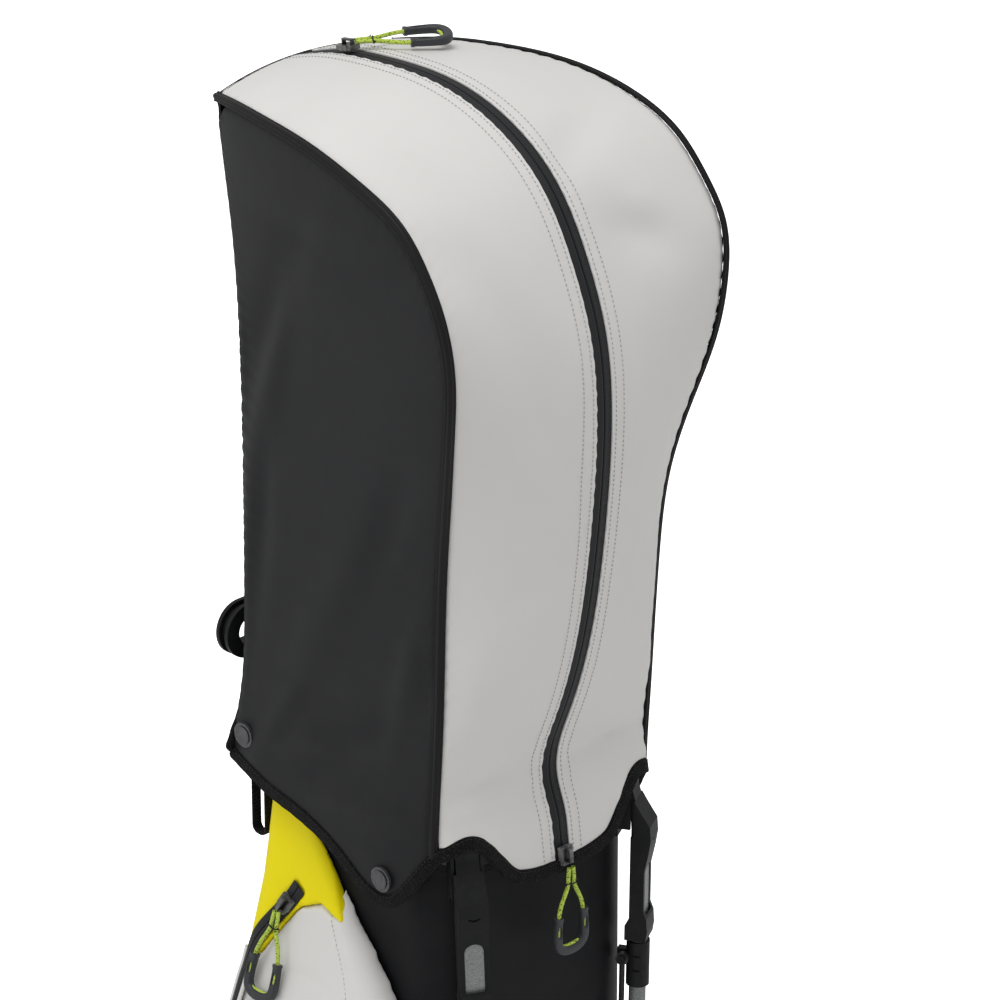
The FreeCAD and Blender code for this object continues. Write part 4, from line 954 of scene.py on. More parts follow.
def puff(obj, pressure, cap, stiff=12.0):
    """Blow a closed piece up with a cloth simulation. cap (mm) limits each point's travel, 0 holds it."""
    rest = coords(obj.data)
    held = obj.vertex_groups.new(name="held")
    held.add([int(i) for i in np.flatnonzero(cap <= 0.01)], 1.0, "REPLACE")
    cloth = obj.modifiers.new("Cloth", "CLOTH")
    cloth.settings.quality = 4
    cloth.settings.mass = 0.25
    cloth.settings.tension_stiffness = stiff
    cloth.settings.compression_stiffness = stiff
    cloth.settings.bending_stiffness = 0.6
    cloth.settings.use_pressure = True
    cloth.settings.uniform_pressure_force = pressure
    cloth.settings.vertex_group_mass = "held"
    cloth.settings.effector_weights.gravity = 0.0
    cloth.point_cache.frame_start = 1
    cloth.point_cache.frame_end = 20
    scene = bpy.context.scene
    for step in range(1, 21):
        scene.frame_set(step)
    graph = bpy.context.evaluated_depsgraph_get()
    moved = coords(obj.evaluated_get(graph).to_mesh())
    obj.modifiers.clear()
    scene.frame_set(1)
    shift = moved - rest
    far = np.linalg.norm(shift, axis=1, keepdims=True)
    most = np.maximum(np.asarray(cap, float)[:, None] * MM, 1e-7)
    set_coords(obj.data, rest + shift / np.maximum(far, 1e-9) * most * np.tanh(far / most))
    obj.vertex_groups.clear()


def dress(obj, body, material, nodes=(), subdivide=True):
    obj.data.materials.clear()
    obj.data.materials.append(material)
    for polygon in obj.data.polygons:
        polygon.material_index = 0
    if subdivide:
        obj.modifiers.new("Fine", "SUBSURF").levels = 1
        obj.modifiers["Fine"].render_levels = 1
    obj.data.shade_smooth()
    if nodes:
        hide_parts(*nodes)
    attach(obj, body)
    return obj


def tree_of(obj):
    """Search tree of a mesh's faces, in millimetres."""
    verts = [Vector(c) for c in coords(obj.data) * 1000.0]
    return BVHTree.FromPolygons(verts, [p.vertices[:] for p in obj.data.polygons])


def laid_on(tree, points_yz, side, lift=0.0):
    """Points in the side view laid on a piece from outside, with the outward way of its face there."""
    line, ways = [], []
    for y, z in points_yz:
        spot = tree.ray_cast(Vector((side * 400.0, y, z)), Vector((-side, 0, 0)))
        if spot[0] is None:
            continue
        way = spot[1] if spot[1].x * side > 0 else -spot[1]
        line.append(spot[0][:])
        ways.append(way[:])
    ways = np.array(ways)
    for _ in range(8):
        ways[1:-1] = (ways[:-2] + 2 * ways[1:-1] + ways[2:]) / 4
    ways = unit(ways)
    return np.array(line) + ways * lift, ways


def distance_to(points, line):
    """Distance in the side view from each point to a line of points."""
    flat = np.asarray(points)[:, 1:]
    best = np.full(len(flat), 1e9)
    line = np.asarray(line, float)
    for a, b in zip(line, line[1:]):
        d = b - a
        t = np.clip(((flat - a) @ d) / (d @ d), 0, 1)
        best = np.minimum(best, np.linalg.norm(flat - a - t[:, None] * d, axis=1))
    return best


def groove(obj, line, side, deep, wide):
    """Press a sewn seam into a soft piece."""
    co = coords(obj.data) * 1000.0
    normals = np.array([v.normal for v in obj.data.vertices])
    near = distance_to(co, line)
    facing = (normals[:, 0] * side > 0.1)
    push = deep * np.exp(-(near / wide) ** 2) * facing
    set_coords(obj.data, (co - normals * push[:, None]) * MM)


def pocket_caps(obj, zip_line, most, extra=()):
    """How far (mm) each point may puff out: nothing by the body, the zip or a sewn line."""
    co = coords(obj.data) * 1000.0
    cap = np.full(len(co), float(most))
    cap *= np.clip((np.abs(co[:, 0]) - HALF_W - 1.0) / 14.0, 0, 1)
    cap *= np.clip((distance_to(co, zip_line) - TAPE_HALF - 1.0) / 22.0, 0, 1)
    for line, reach in extra:
        cap *= np.clip((distance_to(co, line) - 2.0) / reach, 0, 1)
    return cap


def zip_on(name, node, line, side, rise, slot_name="zip_black"):
    """Zip laid along its CAD tape, with a welt of pocket cloth each side."""
    tree = tree_of(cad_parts[node])
    path, out = laid_on(tree, curve_through(line, 260), side)
    verts, faces, uv = sweep_arrays(path + out * rise, out, zip_section(TAPE_HALF - 0.2))
    add_piece(name, verts, faces, "bag", zip_black(), slot_name, [node], uv, sharp=0.6)
    return path, out


def welts(name, path, out, material, slot_name, offset):
    """Strips of pocket cloth beside a zip; gives back their stitch rows."""
    tangent = unit(np.gradient(path, axis=0))
    across = unit(np.cross(tangent, out))
    parts = []
    for sign in (1, -1):
        parts.append(sweep_arrays(path + across * sign * offset + out * 0.3, out,
                                  flat_section(4.4, 2.2, 1.0, 3)))
    verts, faces, uv = together(parts)
    add_piece(name, verts, faces, "bag", material, slot_name, (), uv, sharp=1.2)
    rows = [stitch_arrays(path + across * sign * (offset + 4.2) + out * 0.9, out, 3.4, 2.0,
                          0.34) for sign in (1, -1)]
    return rows


def build_garment_pocket():
    side = -1
    seam = [(34, 772), (16, 735), (-14, 690), (-26, 640), (-29, 560), (-29, 200)]
    yoke_edge = YOKE + [YOKE[0]]
    pocket = cloth_block("garment_pocket_cloth", "garment_pocket", 4.5, 0.4)
    cap = pocket_caps(pocket, GARMENT_ZIP, 6.0, ((yoke_edge, 14.0), (seam, 30.0)))
    puff(pocket, 3.0, cap)
    groove(pocket, seam, side, 1.1, 3.0)
    dress(pocket, "bag", pocket_grey(), ["garment_pocket"])
    tree = tree_of(pocket)
    yoke = cloth_block("garment_yoke_cloth", "garment_yoke", 1.7, -0.5, 2)
    dress(yoke, "bag", yoke_yellow(), ["garment_yoke"], subdivide=False)
    path, out = zip_on("garment_zip", "garment_zip_tape", GARMENT_ZIP, side, 0.4)
    rows = welts("garment_zip_welts", path[30:], out[30:], pocket_grey(), "grey_cloth", TAPE_HALF + 1.0)
    beside_seam = [(y + 2.0, z) for y, z in seam]
    line, way = laid_on(tree, curve_through(beside_seam, 260), side, 0.1)
    rows.append(stitch_arrays(line, way, 3.4, 2.0, 0.34))
    verts, faces, _ = together(rows)
    add_piece("garment_stitching", verts, faces, "bag", thread("Thread, pocket", (0.5, 0.5, 0.49)),
              "grey_cloth", (), None,
              sharp=0)


def rim_line(y0, y1, z0, z1, radius=16.0):
    """Rounded outline in the side view."""
    points = []
    for cy, cz, start in ((y1 - radius, z1 - radius, 0), (y0 + radius, z1 - radius, 90),
                          (y0 + radius, z0 + radius, 180), (y1 - radius, z0 + radius, 270)):
        for s in range(7):
            a = math.radians(start + 15 * s)
            points.append((cy + radius * math.cos(a), cz + radius * math.sin(a)))
    return points + points[:1]


def build_side_pockets():
    for key, line, box_yz, material, slot_name, voxel, cap_mm in (
            ("ball", BALL_ZIP, (-34, 82, 172, 380), pocket_grey(), "grey_cloth", 5.0, 6.0),
            ("valuables", VALUABLES_ZIP, (-6, 78, 516, 700), body_black(), "black_cloth", 4.0, 4.0)):
        pocket = cloth_block(key + "_pocket_cloth", key + "_pocket", voxel, 0.4)
        puff(pocket, 3.0, pocket_caps(pocket, line, cap_mm))
        outline = rim_line(*box_yz)
        groove(pocket, outline, 1, 1.0, 3.2)
        dress(pocket, "bag", material, [key + "_pocket"])
        tree = tree_of(pocket)
        path, out = zip_on(key + "_zip", key + "_zip_tape", line, 1, 0.4)
        rows = welts(key + "_zip_welts", path, out, material, slot_name, TAPE_HALF + 1.0)
        edge, way = laid_on(tree, resample(outline, 300), 1, 0.1)
        rows.append(stitch_arrays(edge, way, 3.6, 2.1, 0.34))
        verts, faces, _ = together(rows)
        colour = (0.5, 0.5, 0.49) if key == "ball" else (0.05, 0.05, 0.052)
        add_piece(key + "_stitching", verts, faces, "bag", thread("Thread, " + key + " pocket", colour),
                  slot_name, (),
                  None, sharp=0)


# =============================== body and dividers ===============================
def body_ring(out, count):
    """Evenly spaced outline of the body, moved outward, as (x, y)."""
    r = CORNER_R + out
    points = []
    for cx, cy, start in ((HALF_W - CORNER_R, BACK - CORNER_R, 0), (CORNER_R - HALF_W, BACK - CORNER_R, 90),
                          (CORNER_R - HALF_W, FRONT + CORNER_R, 180),
                          (HALF_W - CORNER_R, FRONT + CORNER_R, 270)):
        for s in range(25):
            a = math.radians(start + 90 * s / 24)
            points.append((cx + r * math.cos(a), cy + r * math.sin(a)))
    closed = np.array(points + points[:1])
    return resample(closed, count + 1)[:-1]


def rim_height(y):
    return RIM_FRONT_Z + (RIM_BACK_Z - RIM_FRONT_Z) * (y - FRONT) / (BACK - FRONT)


def build_body():
    count, levels = 300, 150
    outer, inner = body_ring(0.0, count), body_ring(-2.3, count)
    perimeter = np.linalg.norm(np.roll(outer, -1, axis=0) - outer, axis=1).sum()
    verts, uvs = [], []
    for ring, sign in ((outer, 1), (inner, 0)):
        way = unit(np.roll(ring, -1, axis=0) - np.roll(ring, 1, axis=0))
        normal = np.stack([way[:, 1], -way[:, 0]], axis=1)
        top = rim_height(ring[:, 1]) - CUFF_DEPTH - 0.2
        for i in range(count):
            for k in range(levels):
                z = BODY_LOW + (top[i] - BODY_LOW) * k / (levels - 1)
                u = perimeter * i / count
                wave = (0.45 * math.sin(u / 61 + z / 190) * math.sin(z / 83 + u / 97)
                        + 0.25 * math.sin(z / 37 + u / 44))
                hem = (0.9 * math.exp(-((top[i] - 9 - z) / 1.6) ** 2)
                       + 0.9 * math.exp(-((z - BODY_LOW - 34) / 1.6) ** 2))
                push = -(0.8 + wave * 0.6 + hem) * sign
                verts.append((ring[i, 0] + normal[i, 0] * push, ring[i, 1] + normal[i, 1] * push, z))
                uvs.append((u, z))
    half = count * levels
    faces = grid_faces(count, levels, 0, True) + grid_faces(count, levels, half, True, True)
    for i in range(count):
        j = (i + 1) % count
        faces.append([j * levels, i * levels, half + i * levels, half + j * levels])
        a, b = i * levels + levels - 1, j * levels + levels - 1
        faces.append([a, b, half + b, half + a])
    add_piece("body_cloth", verts, faces, "bag", body_black(), "black_cloth", ["body_shell"], np.array(uvs),
              sharp=1.0)
    rows = []
    for below, above_low in ((6.0, None), (None, 37.5)):
        ring = body_ring(-0.3, 400)
        z = rim_height(ring[:, 1]) - CUFF_DEPTH - below if below else np.full(len(ring), BODY_LOW + above_low)
        path = np.column_stack([ring, z])
        path = np.concatenate([path, path[:1]])
        way = unit(np.gradient(path, axis=0))
        out = np.stack([way[:, 1], -way[:, 0], 0 * way[:, 0]], axis=1)
        rows.append(stitch_arrays(path, unit(out), 3.6, 2.2, 0.34))
    verts, faces, _ = together(rows)
    add_piece("body_stitching", verts, faces, "bag", thread("Thread, black", (0.03, 0.03, 0.032)),
              "black_cloth", (), None,
              sharp=0)


def build_dividers():
    grid = cloth_block("divider_padding", "club_divider", 1.6, 0.1, 3)
    velour = finish("Brushed velour, black", (0.02, 0.02, 0.022), rough=0.9, specular=0.1,
                    grain=(1700.0, 1.0, 1.0),
                    tone=0.25, depth=0.0004, sheen=0.25)
    dress(grid, "bag", velour, ["club_divider"], subdivide=False)
    low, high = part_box("divider_walls")
    parts = []
    for x in (-32.0, 32.0):
        ys, zs = np.linspace(low.y * 1000, high.y * 1000, 36), np.linspace(0, 1, 90)
        cloth = np.zeros((36, 90, 3))
        for i, y in enumerate(ys):
            top = rim_height(y) - 16.6
            z = low.z * 1000 + (top - low.z * 1000) * zs
            wave = 1.4 * np.sin(y / 21.0 + z / 160.0) * np.sin(z / 95.0) * np.clip((top - z) / 60.0, 0, 1)
            cloth[i] = np.stack([x + 0.6 + wave, np.full(90, y), z], axis=1)
        normals = np.tile(np.array((1.0, 0, 0)), (36, 90, 1))
        parts.append(skin_arrays(cloth, normals, 1.2, grid_uv(cloth)))
    verts, faces, uv = together(parts)
    lining = finish("Lining cloth, black", (0.02, 0.02, 0.021), rough=0.75, specular=0.15,
                    grain=(900.0, 0.5, 0.3),
                    weave=(1100.0, 1100.0, 0.7), tone=0.15, depth=0.0002)
    add_piece("divider_cloth", verts, faces, "bag", lining, "divider_foam", ["divider_walls"], uv, sharp=1.0)


# =============================== back: pads and straps ===============================
def channel(obj, lines, deep, wide):
    """Press quilted channels into the outer face of a pad on the bag's back; each is two (x, z) points."""
    co = coords(obj.data) * 1000.0
    normals = np.array([v.normal for v in obj.data.vertices])
    flat = co[:, (0, 2)]
    near = np.full(len(co), 1e9)
    for a, b in lines:
        a, b = np.asarray(a, float), np.asarray(b, float)
        d = b - a
        t = np.clip(((flat - a) @ d) / (d @ d), 0, 1)
        near = np.minimum(near, np.linalg.norm(flat - a - t[:, None] * d, axis=1))
    push = deep * np.exp(-(near / wide) ** 2) * np.clip(normals[:, 1], 0, 1)
    set_coords(obj.data, (co - normals * push[:, None]) * MM)


def build_pads():
    pad = cloth_block("hip_pad_cloth", "hip_pad", 3.2, 0.8)
    co = coords(pad.data) * 1000.0
    puff(pad, 4.0, 5.0 * np.clip((co[:, 1] - BACK - 1.0) / 3.0, 0, 1))
    channel(pad, [((-56, z), (56, z)) for z in (434, 466, 498, 530, 562)], 2.2, 4.0)
    channel(pad, [((s * 60, 404), (s * 60, 592)) for s in (-1, 1)], 1.8, 3.0)
    dress(pad, "bag", pad_black(), ["hip_pad"])
    pads = cloth_block("strap_pads_cloth", "strap_pads", 3.4, 0.6)
    co = coords(pads.data) * 1000.0
    puff(pads, 4.0, np.full(len(co), 3.0))
    for side in (1, -1):
        channel(pads, [((side * 8, z), (side * 62, z + 10)) for z in (372, 412, 452, 492, 532, 572, 612,
                                                                      648)], 1.8, 3.4)
        channel(pads, [((x * side, 332), (x * side, 688)) for x in (13, 57)], 1.5, 2.6)
    dress(pads, "bag", pad_black(), ["strap_pads"])


def ribbon(line, x0, x1, thick, count=90):
    """Flat strap along a line in the side view, between two x values."""
    path = curve_through([(0, y, z) for y, z in line], count)
    path[:, 0] = (x0 + x1) / 2.0
    tangent = unit(np.gradient(path, axis=0))
    out = np.stack([0 * tangent[:, 0], tangent[:, 2], -tangent[:, 1]], axis=1)
    out *= np.where(out[:, 1:2] < 0, -1, 1)
    return sweep_arrays(path, out, flat_section(abs(x1 - x0), thick, 0.7, 3)), path, out


def build_straps():
    parts, rows = [], []
    for side in (-1, 1):
        for line, a, b in ((UPPER_STRAP, 14.0, 38.0), (LOWER_STRAP, 23.0, 47.0)):
            piece, path, out = ribbon(line, side * a, side * b, 1.8)
            parts.append(piece)
            for off in (-9.5, 9.5):
                rows.append(stitch_arrays(path[4:24] + np.array((off, 0, 0)) + out[4:24] * 0.9, out[4:24],
                                          3.0, 2.1, 0.34))
    verts, faces, uv = together(parts)
    add_piece("strap_webbing_woven", verts, faces, "bag", strap_black(), "webbing", ["strap_webbing"], uv,
              sharp=1.0)
    verts, faces, _ = together(rows)
    add_piece("strap_stitching", verts, faces, "bag", thread("Thread, strap", (0.12, 0.12, 0.12)), "webbing",
              (), None,
              sharp=0)


def build_loops():
    low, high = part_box("towel_loop")
    lo, hi = np.array(low) * 1000, np.array(high) * 1000
    x, y0, y1, z0, z1, r = (lo[0] + hi[0]) / 2, lo[1] + 0.8, hi[1] - 0.8, lo[2] + 0.8, hi[2] - 0.8, 5.0
    points = []
    for cy, cz, start in ((y1 - r, z1 - r, 0), (y0 + r, z1 - r, 90), (y0 + r, z0 + r, 180),
                          (y1 - r, z0 + r, 270)):
        for s in range(9):
            a = math.radians(start + 90 * s / 8)
            points.append((x, cy + r * math.cos(a), cz + r * math.sin(a)))
    path = resample(points + points[:1], 181)[:-1]
    middle = np.array((x, (y0 + y1) / 2, (z0 + z1) / 2))
    tangent = unit(np.roll(path, -1, axis=0) - np.roll(path, 1, axis=0))
    out = np.cross(tangent, np.array((1.0, 0, 0)))
    out *= np.where(np.sum(out * (path - middle), axis=1, keepdims=True) < 0, -1, 1)
    verts, faces, uv = sweep_arrays(path, out, flat_section(hi[0] - lo[0], 1.5, 0.6, 3), closed=True)
    add_piece("towel_loop_woven", verts, faces, "bag", strap_black(), "webbing", ["towel_loop"], uv,
              sharp=1.0)
    tabs = cloth_block("snap_tabs_cloth", "snap_tabs", 0.7, 0.0, 2)
    dress(tabs, "bag", strap_black(), ["snap_tabs"], subdivide=False)


# =============================== pulls ===============================
PULL_ROUTE = [(-0.0018, 0, -0.003), (-0.0028, 0, -0.0105), (-0.0024, 0, -0.0165), (-0.0105, 0, -0.031),
              (-0.0123, 0, -0.045), (-0.0118, 0, -0.0585), (-0.0085, 0, -0.0622), (0.0085, 0, -0.0622),
              (0.0118, 0, -0.0585), (0.0123, 0, -0.045), (0.0105, 0, -0.031), (0.0024, 0, -0.0165),
              (0.0028, 0, -0.0105), (0.0018, 0, -0.003)]
CORD_D = 0.003


def pull_place(eye, out, down):
    """Placement of a pull: local -Z runs down it and local -Y points away from the bag. Metres."""
    z = -Vector(down).normalized()
    y = -Vector(out).normalized()
    x = y.cross(z).normalized()
    y = z.cross(x).normalized()
    turn = Matrix((x, y, z)).transposed().to_4x4()
    return Matrix.Translation(Vector(eye)) @ turn


def pulls():
    """Name, body, eye, outward way and way down of each corded pull."""
    rate = (28.0 - 13.0) / (735.0 - 686.0)
    out = Vector((-1, 0, rate)).normalized()
    along = Vector((-rate * 44.0, 24.0, -44.0)).normalized()
    base = Vector((-(HALF_W + 13.0 + rate * 7.0), 58.0, 728.0))
    garment_eye = (base + out * 7.2 + along * 3) * MM
    low_out, low_along = Vector((0, -0.99, -0.15)), Vector((0, -0.15, -0.99))
    low_eye = (Vector((0, -101.4, 787)) + low_out * 7.6 + low_along * 3) * MM
    top_out, top_along = Vector((0, 0.152, 0.988)), Vector((0, -0.988, 0.152))
    top_eye = (Vector((0, 104, 1310.35)) + top_out * 6.4 + top_along * 3) * MM
    return (("hood_low", low_eye, (0, -1, 0), (0, 0, -1)), ("hood_top", top_eye, (0, 0, 1), (0.86, -0.51, 0)),
            ("garment", garment_eye, out, (-out.z, 0, out.x)))


def build_cord(name, place):
    data = bpy.data.curves.new(name + "_pull_cord", "CURVE")
    data.dimensions = "3D"
    data.bevel_depth = CORD_D / 2
    data.bevel_resolution = 4
    data.resolution_u = 10
    spline = data.splines.new("NURBS")
    spline.points.add(len(PULL_ROUTE) - 1)
    for point, spot in zip(spline.points, PULL_ROUTE):
        point.co = (*(place @ Vector(spot)), 1.0)
    spline.order_u = 3
    spline.use_endpoint_u = True
    obj = bpy.data.objects.new(name + "_pull_cord", data)
    bpy.context.scene.collection.objects.link(obj)
    lime = finish("Braided cord, lime", settings().cord_lime, rough=0.6, specular=0.3,
                  grain=(2200.0, 1.2, 0.8),
                  fleck=(1500.0, 0.12, (0.05, 0.08, 0.01)), tone=0.1, depth=0.0004)
    data.materials.append(lime)
    return obj


def build_pulls():
    plastic = finish("Moulded pull, dark grey", (0.035, 0.037, 0.042), rough=0.42, specular=0.4,
                     grain=(1700.0, 0.6, 0.6), tone=0.1, depth=0.00006, wear=(0.4, (0.14, 0.14, 0.15)))
    rubber = finish("Cord tie, black", (0.012, 0.012, 0.012), rough=0.6, specular=0.3, tone=0.1)
    for name, eye, out, down in pulls():
        place = pull_place(eye, out, down)
        body = name + "_pull"
        cord = build_cord(name, place)
        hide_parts(name + "_cord")
        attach(cord, body)
        # moulded U: legs, a rounded foot, and a window in each leg that shows the cord
        route = [(-11.6, -38), (-12.3, -46), (-12.6, -54), (-11.2, -61), (-5.5, -64.6), (0, -65.2),
                 (5.5, -64.6),
                 (11.2, -61), (12.6, -54), (12.3, -46), (11.6, -38)]
        path = curve_through([(x, 0, z) for x, z in route], 110)
        way = np.tile(np.array((0, -1.0, 0)), (110, 1))
        share = np.linspace(-1, 1, 110)
        grow = 0.86 + 0.16 * np.cos(share * math.pi / 2) ** 2 + 0.10 * (np.abs(share) > 0.93)
        verts, faces, uv = sweep_arrays(path, way, flat_section(6.6, 6.0, 1.7, 4), grow=grow)
        tab = add_piece(name + "_pull_tab", verts, faces, body, plastic, "tab_plastic", [name + "_tab"], uv,
                        sharp=0.6)
        windows = bmesh.new()
        for side in (-1, 1):
            for face in (-1, 1):
                shift = Matrix.Translation(Vector((side * 12.45, face * 3.3, -48.5)) * MM)
                size = Matrix.Diagonal((2.0 * MM, 2.6 * MM, 5.4 * MM, 1.0))
                bmesh.ops.create_uvsphere(windows, u_segments=20, v_segments=12, radius=1.0,
                                          matrix=shift @ size)
        cutter_mesh = bpy.data.meshes.new("pull_window")
        windows.to_mesh(cutter_mesh)
        windows.free()
        cutter = bpy.data.objects.new("pull_window", cutter_mesh)
        bpy.context.scene.collection.objects.link(cutter)
        tab.parent = None
        tab.matrix_world = Matrix.Identity(4)
        cut = tab.modifiers.new("Windows", "BOOLEAN")
        cut.object = cutter
        cut.operation = "DIFFERENCE"
        cut.solver = "EXACT"
        bpy.context.view_layer.update()
        baked(tab)
        bpy.data.objects.remove(cutter)
        tab.data.transform(place)
        tab.data.shade_smooth()
        tab.data.set_sharp_from_angle(angle=0.6)
        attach(tab, body)
        # the tie that pinches the two runs together, and its short tails
        ring = []
        for s in range(41):
            a = 2 * math.pi * s / 40
            ring.append((4.1 * math.cos(a), 2.0 * math.sin(a), -14.6 + 0.5 * math.sin(2 * a)))
        ring = np.array([(place @ (Vector(p) * MM))[:] for p in ring]) * 1000.0
        centre = ring[:-1].mean(axis=0)
        parts = [sweep_arrays(ring[:-1], unit(ring[:-1] - centre), round_section(0.55, 8), closed=True)]
        for tail in ([(3.9, 0, -14.6), (5.2, -0.6, -14.1), (6.6, -1.0, -14.5)],
                     [(-3.9, 0, -14.6), (-5.4, -0.6, -15.1), (-6.8, -0.8, -15.0)]):
            line = curve_through([(place @ (Vector(p) * MM) * 1000.0)[:] for p in tail], 10)
            up = np.tile(np.array((place.to_3x3() @ Vector((0, -1, 0)))[:]), (10, 1))
            parts.append(sweep_arrays(line, up, round_section(0.5, 8)))
        verts, faces, uv = together(parts)
        tie = add_piece(name + "_cord_tie", verts, faces, body, rubber, "tab_plastic", (), uv, sharp=1.0)


# =============================== hard parts ===============================
def paint(nodes, material):
    for node in nodes:
        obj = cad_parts[node]
        if not obj.material_slots:
            obj.data.materials.append(material)
        for slot in obj.material_slots:
            slot.material = material


def paint_frame():
    moulded = moulded_black()
    both = ("left", "right")
    paint(["leg_arm_" + s for s in both] + ["leg_clamp_" + s for s in both] + ["leg_brackets", "lift_handle"],
          moulded)
    # the silver inlay and tube carry a painted glint, one brightness per bead
    paint(["leg_inlay_" + s for s in both], glitter("Silver film inlay", (0.25, 0.26, 0.26), 2400.0))
    paint(["leg_tube_" + s for s in both], glitter("Silver grained tube", (0.21, 0.22, 0.22), 2000.0))
    rubber = finish("Rubber, black", (0.02, 0.02, 0.02), rough=0.75, specular=0.25, grain=(1100.0, 0.8, 0.8),
                    tone=0.15,
                    depth=0.00015, wear=(0.6, (0.12, 0.115, 0.11)), dust=0.25)
    paint(["leg_foot_" + s for s in both] + ["stand_foot_grip"], rubber)
    steel = finish("Zinc plated steel", (0.56, 0.56, 0.55), rough=0.32, metallic=1.0, grain=(600.0, 0.2, 0.5),
                   tone=0.08,
                   depth=0.00003, wear=(0.4, (0.75, 0.75, 0.74)))
    paint(["leg_pivot_pins", "foot_hinge_pin", "handle_screws"], steel)
    paint(["leg_rod_" + s for s in both],
          finish("Coated rod, black", (0.010, 0.010, 0.011), rough=0.35, specular=0.3,
                 grain=(1500.0, 0.3, 0.4),
                 tone=0.08, depth=0.00003, wear=(0.3, (0.12, 0.12, 0.12))))
    boot = finish("Moulded boot, black", (0.02, 0.021, 0.022), rough=0.55, specular=0.3,
                  grain=(1100.0, 0.9, 0.9),
                  tone=0.15, depth=0.00012, wear=(0.7, (0.11, 0.11, 0.11)), dust=0.2)
    paint(["base_boot", "stand_foot"], boot)
    cuff = finish("Moulded cuff, black", (0.018, 0.018, 0.019), rough=0.38, specular=0.35,
                  grain=(1600.0, 0.6, 0.6),
                  tone=0.1, depth=0.00006, wear=(0.5, (0.1, 0.1, 0.1)), dust=0.06)
    paint(["top_cuff", "strap_hub", "strap_adjusters"], cuff)
    paint(["frame_stays"], finish("Glass fibre stay, grey", (0.24, 0.24, 0.25), rough=0.5, specular=0.4,
                                  grain=(700.0, 0.5, 0.6), tone=0.15, depth=0.00008))
    gunmetal = finish("Gunmetal snap", (0.09, 0.09, 0.095), rough=0.36, metallic=0.85,
                      grain=(1400.0, 0.5, 0.5),
                      tone=0.15, depth=0.00005, wear=(0.8, (0.35, 0.35, 0.36)))
    paint(["snap_studs", "hood_snap_caps"], gunmetal)
    slider = finish("Lacquered slider, black", (0.010, 0.010, 0.011), rough=0.32, specular=0.4, coat=0.15,
                    grain=(1500.0, 0.4, 0.4), tone=0.1, depth=0.00003, wear=(0.7, (0.4, 0.4, 0.4)))
    paint(["hood_slider_low", "hood_slider_top", "garment_slider", "ball_slider", "valuables_slider"], slider)


# =============================== stage ===============================
def area_light(name, power, size, at, aim, colour=(1, 1, 1)):
    data = bpy.data.lights.new(name, "AREA")
    data.energy, data.size, data.color = power, size, colour
    obj = bpy.data.objects.new(name, data)
    obj.location = at
    obj.rotation_euler = (Vector(aim) - Vector(at)).to_track_quat("-Z", "Y").to_euler()
    bpy.context.scene.collection.objects.link(obj)


def build_stage():
    given = settings()
    mesh = bpy.data.meshes.new("studio_floor")
    rows = np.linspace(-18, 18, 25)
    verts = [(x, y, 0.0) for x in rows for y in rows]
    mesh.from_pydata(verts, [], grid_faces(25, 25, flip=False))
    floor = bpy.data.objects.new("studio_floor", mesh)
    bpy.context.scene.collection.objects.link(floor)
    paper = finish("Studio floor", given.floor_colour, rough=0.9, specular=0.05, grain=(40.0, 0.2, 0.2),
                   tone=0.0,
                   depth=0.0001)
    shader = paper.node_tree.nodes["Principled BSDF"]
    shader.inputs["Emission Color"].default_value = (1, 1, 1, 1)
    seen = paper.node_tree.nodes.new("ShaderNodeLightPath")
    paper.node_tree.links.new(seen.outputs["Is Camera Ray"], shader.inputs["Emission Strength"])
    mesh.materials.append(paper)
    world = bpy.data.worlds.new("Studio")
    world.use_nodes = True
    world.node_tree.nodes["Background"].inputs[0].default_value = (1, 1, 1, 1)
    world.node_tree.nodes["Background"].inputs[1].default_value = given.room_light
    scene = bpy.context.scene
    scene.world = world
    area_light("Key", given.key_light, 2.2, (-0.9, -0.3, 4.4), (0, 0, 1.1))
    area_light("Side", given.key_light * 0.3, 1.6, (-3.4, 1.6, 2.2), (0, 0, 1.0))
    area_light("Fill", given.key_light * 0.12, 2.6, (3.2, -2.2, 2.2), (0, 0, 1.0))
    azimuth, elevation = math.radians(-44.0), math.radians(24.0)
    aim = Vector((0.0, -0.040, 1.030))
    reach = Vector((math.sin(azimuth) * math.cos(elevation), -math.cos(azimuth) * math.cos(elevation),
                    math.sin(elevation)))
    camera_data = bpy.data.cameras.new("Camera")
    camera_data.lens = 189.0
    camera_data.sensor_width = 36.0
    camera = bpy.data.objects.new("Camera", camera_data)
    camera.location = aim + reach * 3.5
    camera.rotation_euler = (-reach).to_track_quat("-Z", "Y").to_euler()
    scene.collection.objects.link(camera)
    scene.camera = camera
    scene.view_settings.view_transform = "Standard"


# =============================== add-on ===============================
def colour_property(name, description, value):
    return bpy.props.FloatVectorProperty(name=name, description=description, default=value, size=3, min=0.0,
                                         max=1.0,
                                         subtype="COLOR")


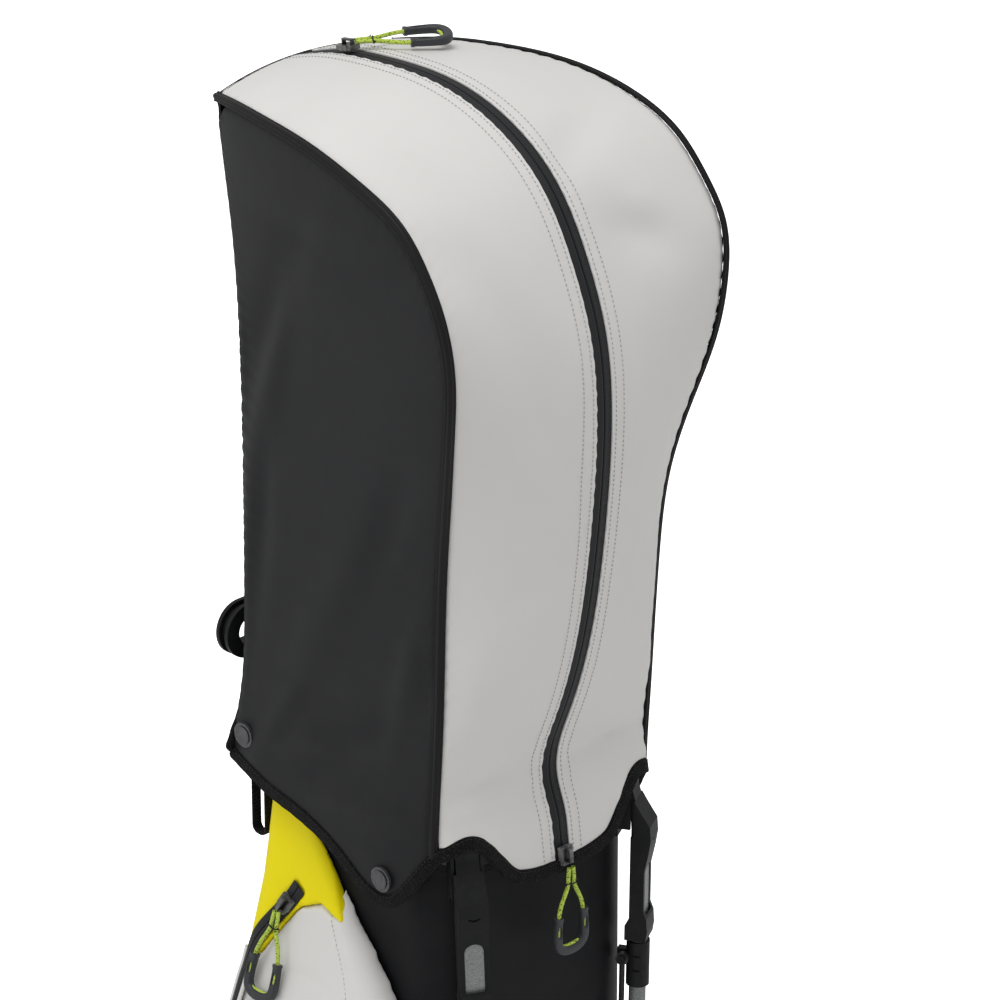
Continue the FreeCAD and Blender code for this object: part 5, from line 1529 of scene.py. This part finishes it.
class GolfBagSettings(bpy.types.PropertyGroup):
    """Colours, light and cloth folds of the stand bag."""
    hood_grey: colour_property("Hood grey", "Colour of the hood's middle panels and the grey pockets",
                               (0.74, 0.73, 0.712))
    hood_black: colour_property("Hood black", "Colour of the hood's side and back panels",
                                (0.0145, 0.015, 0.0165))
    body_black: colour_property("Body black", "Colour of the bag's body", (0.006, 0.0063, 0.0078))
    yoke_yellow: colour_property("Yoke yellow", "Colour of the panel over the garment pocket",
                                 (0.93, 0.79, 0.0))
    cord_lime: colour_property("Cord lime", "Colour of the pull cords", (0.60, 0.78, 0.11))
    floor_colour: colour_property("Floor", "Colour of the studio floor", (0.96, 0.96, 0.96))
    wrinkles: bpy.props.FloatProperty(name="Folds", description="How deep the hood's soft folds are",
                                      default=1.6,
                                      min=0.0, max=2.0, subtype="FACTOR")
    key_light: bpy.props.FloatProperty(name="Key light", description="Power of the main soft light",
                                       default=58.0,
                                       min=0.0, unit="POWER")
    room_light: bpy.props.FloatProperty(name="Room light", description="Strength of the light from all round",
                                        default=0.5, min=0.0)


def step_operator(idname, label, text, *steps):
    """One operator of the panel: it runs its building steps in order."""
    def execute(self, context):
        for step in steps:
            step()
        return {"FINISHED"}
    return type("GOLF_BAG_OT_" + idname, (bpy.types.Operator,),
                {"bl_idname": "golf_bag." + idname, "bl_label": label, "__doc__": text, "execute": execute})


OPERATORS = (
    step_operator("stage", "Stage", "Floor, soft light and camera", build_stage),
    step_operator("hard_parts", "Hard parts", "Finishes of the moulded and metal parts", paint_frame),
    step_operator("hood_cloth", "Hood cloth", "The hood's five cloth panels", build_hood_cloth),
    step_operator("hood_trim", "Hood trim", "Piping and edge binding of the hood", build_hood_piping,
                  build_hood_binding),
    step_operator("hood_zip", "Hood zip", "The hood's zip and its stitching", build_hood_zip),
    step_operator("body", "Body", "Cloth of the bag's body", build_body),
    step_operator("dividers", "Dividers", "Club dividers and their cloth", build_dividers),
    step_operator("garment_pocket", "Garment pocket", "Garment pocket, its yoke and its zip",
                  build_garment_pocket),
    step_operator("side_pockets", "Side pockets", "Ball and valuables pockets", build_side_pockets),
    step_operator("pads", "Pads", "Hip pad and shoulder pads", build_pads),
    step_operator("straps", "Straps", "Webbing, towel loop and snap tabs", build_straps, build_loops),
    step_operator("pulls", "Pulls", "Corded zip pulls", build_pulls),
)


class GOLF_BAG_PT_panel(bpy.types.Panel):
    """Lists the bag's settings and building steps."""
    bl_idname = "GOLF_BAG_PT_panel"
    bl_label = "Golf Stand Bag"
    bl_space_type = "VIEW_3D"
    bl_region_type = "UI"
    bl_category = "Golf Bag"

    def draw(self, context):
        for name in GolfBagSettings.__annotations__:
            self.layout.prop(context.scene.golf_bag, name)
        for operator in OPERATORS:
            self.layout.operator(operator.bl_idname)


CLASSES = (GolfBagSettings, *OPERATORS, GOLF_BAG_PT_panel)


def register():
    for kind in CLASSES:
        bpy.utils.register_class(kind)
    bpy.types.Scene.golf_bag = bpy.props.PointerProperty(type=GolfBagSettings)


def unregister():
    del bpy.types.Scene.golf_bag
    for kind in reversed(CLASSES):
        bpy.utils.unregister_class(kind)


def main():
    register()
    for operator in OPERATORS:
        group_name, name = operator.bl_idname.split(".")
        getattr(getattr(bpy.ops, group_name), name)()


if __name__ == "__main__":
    main()
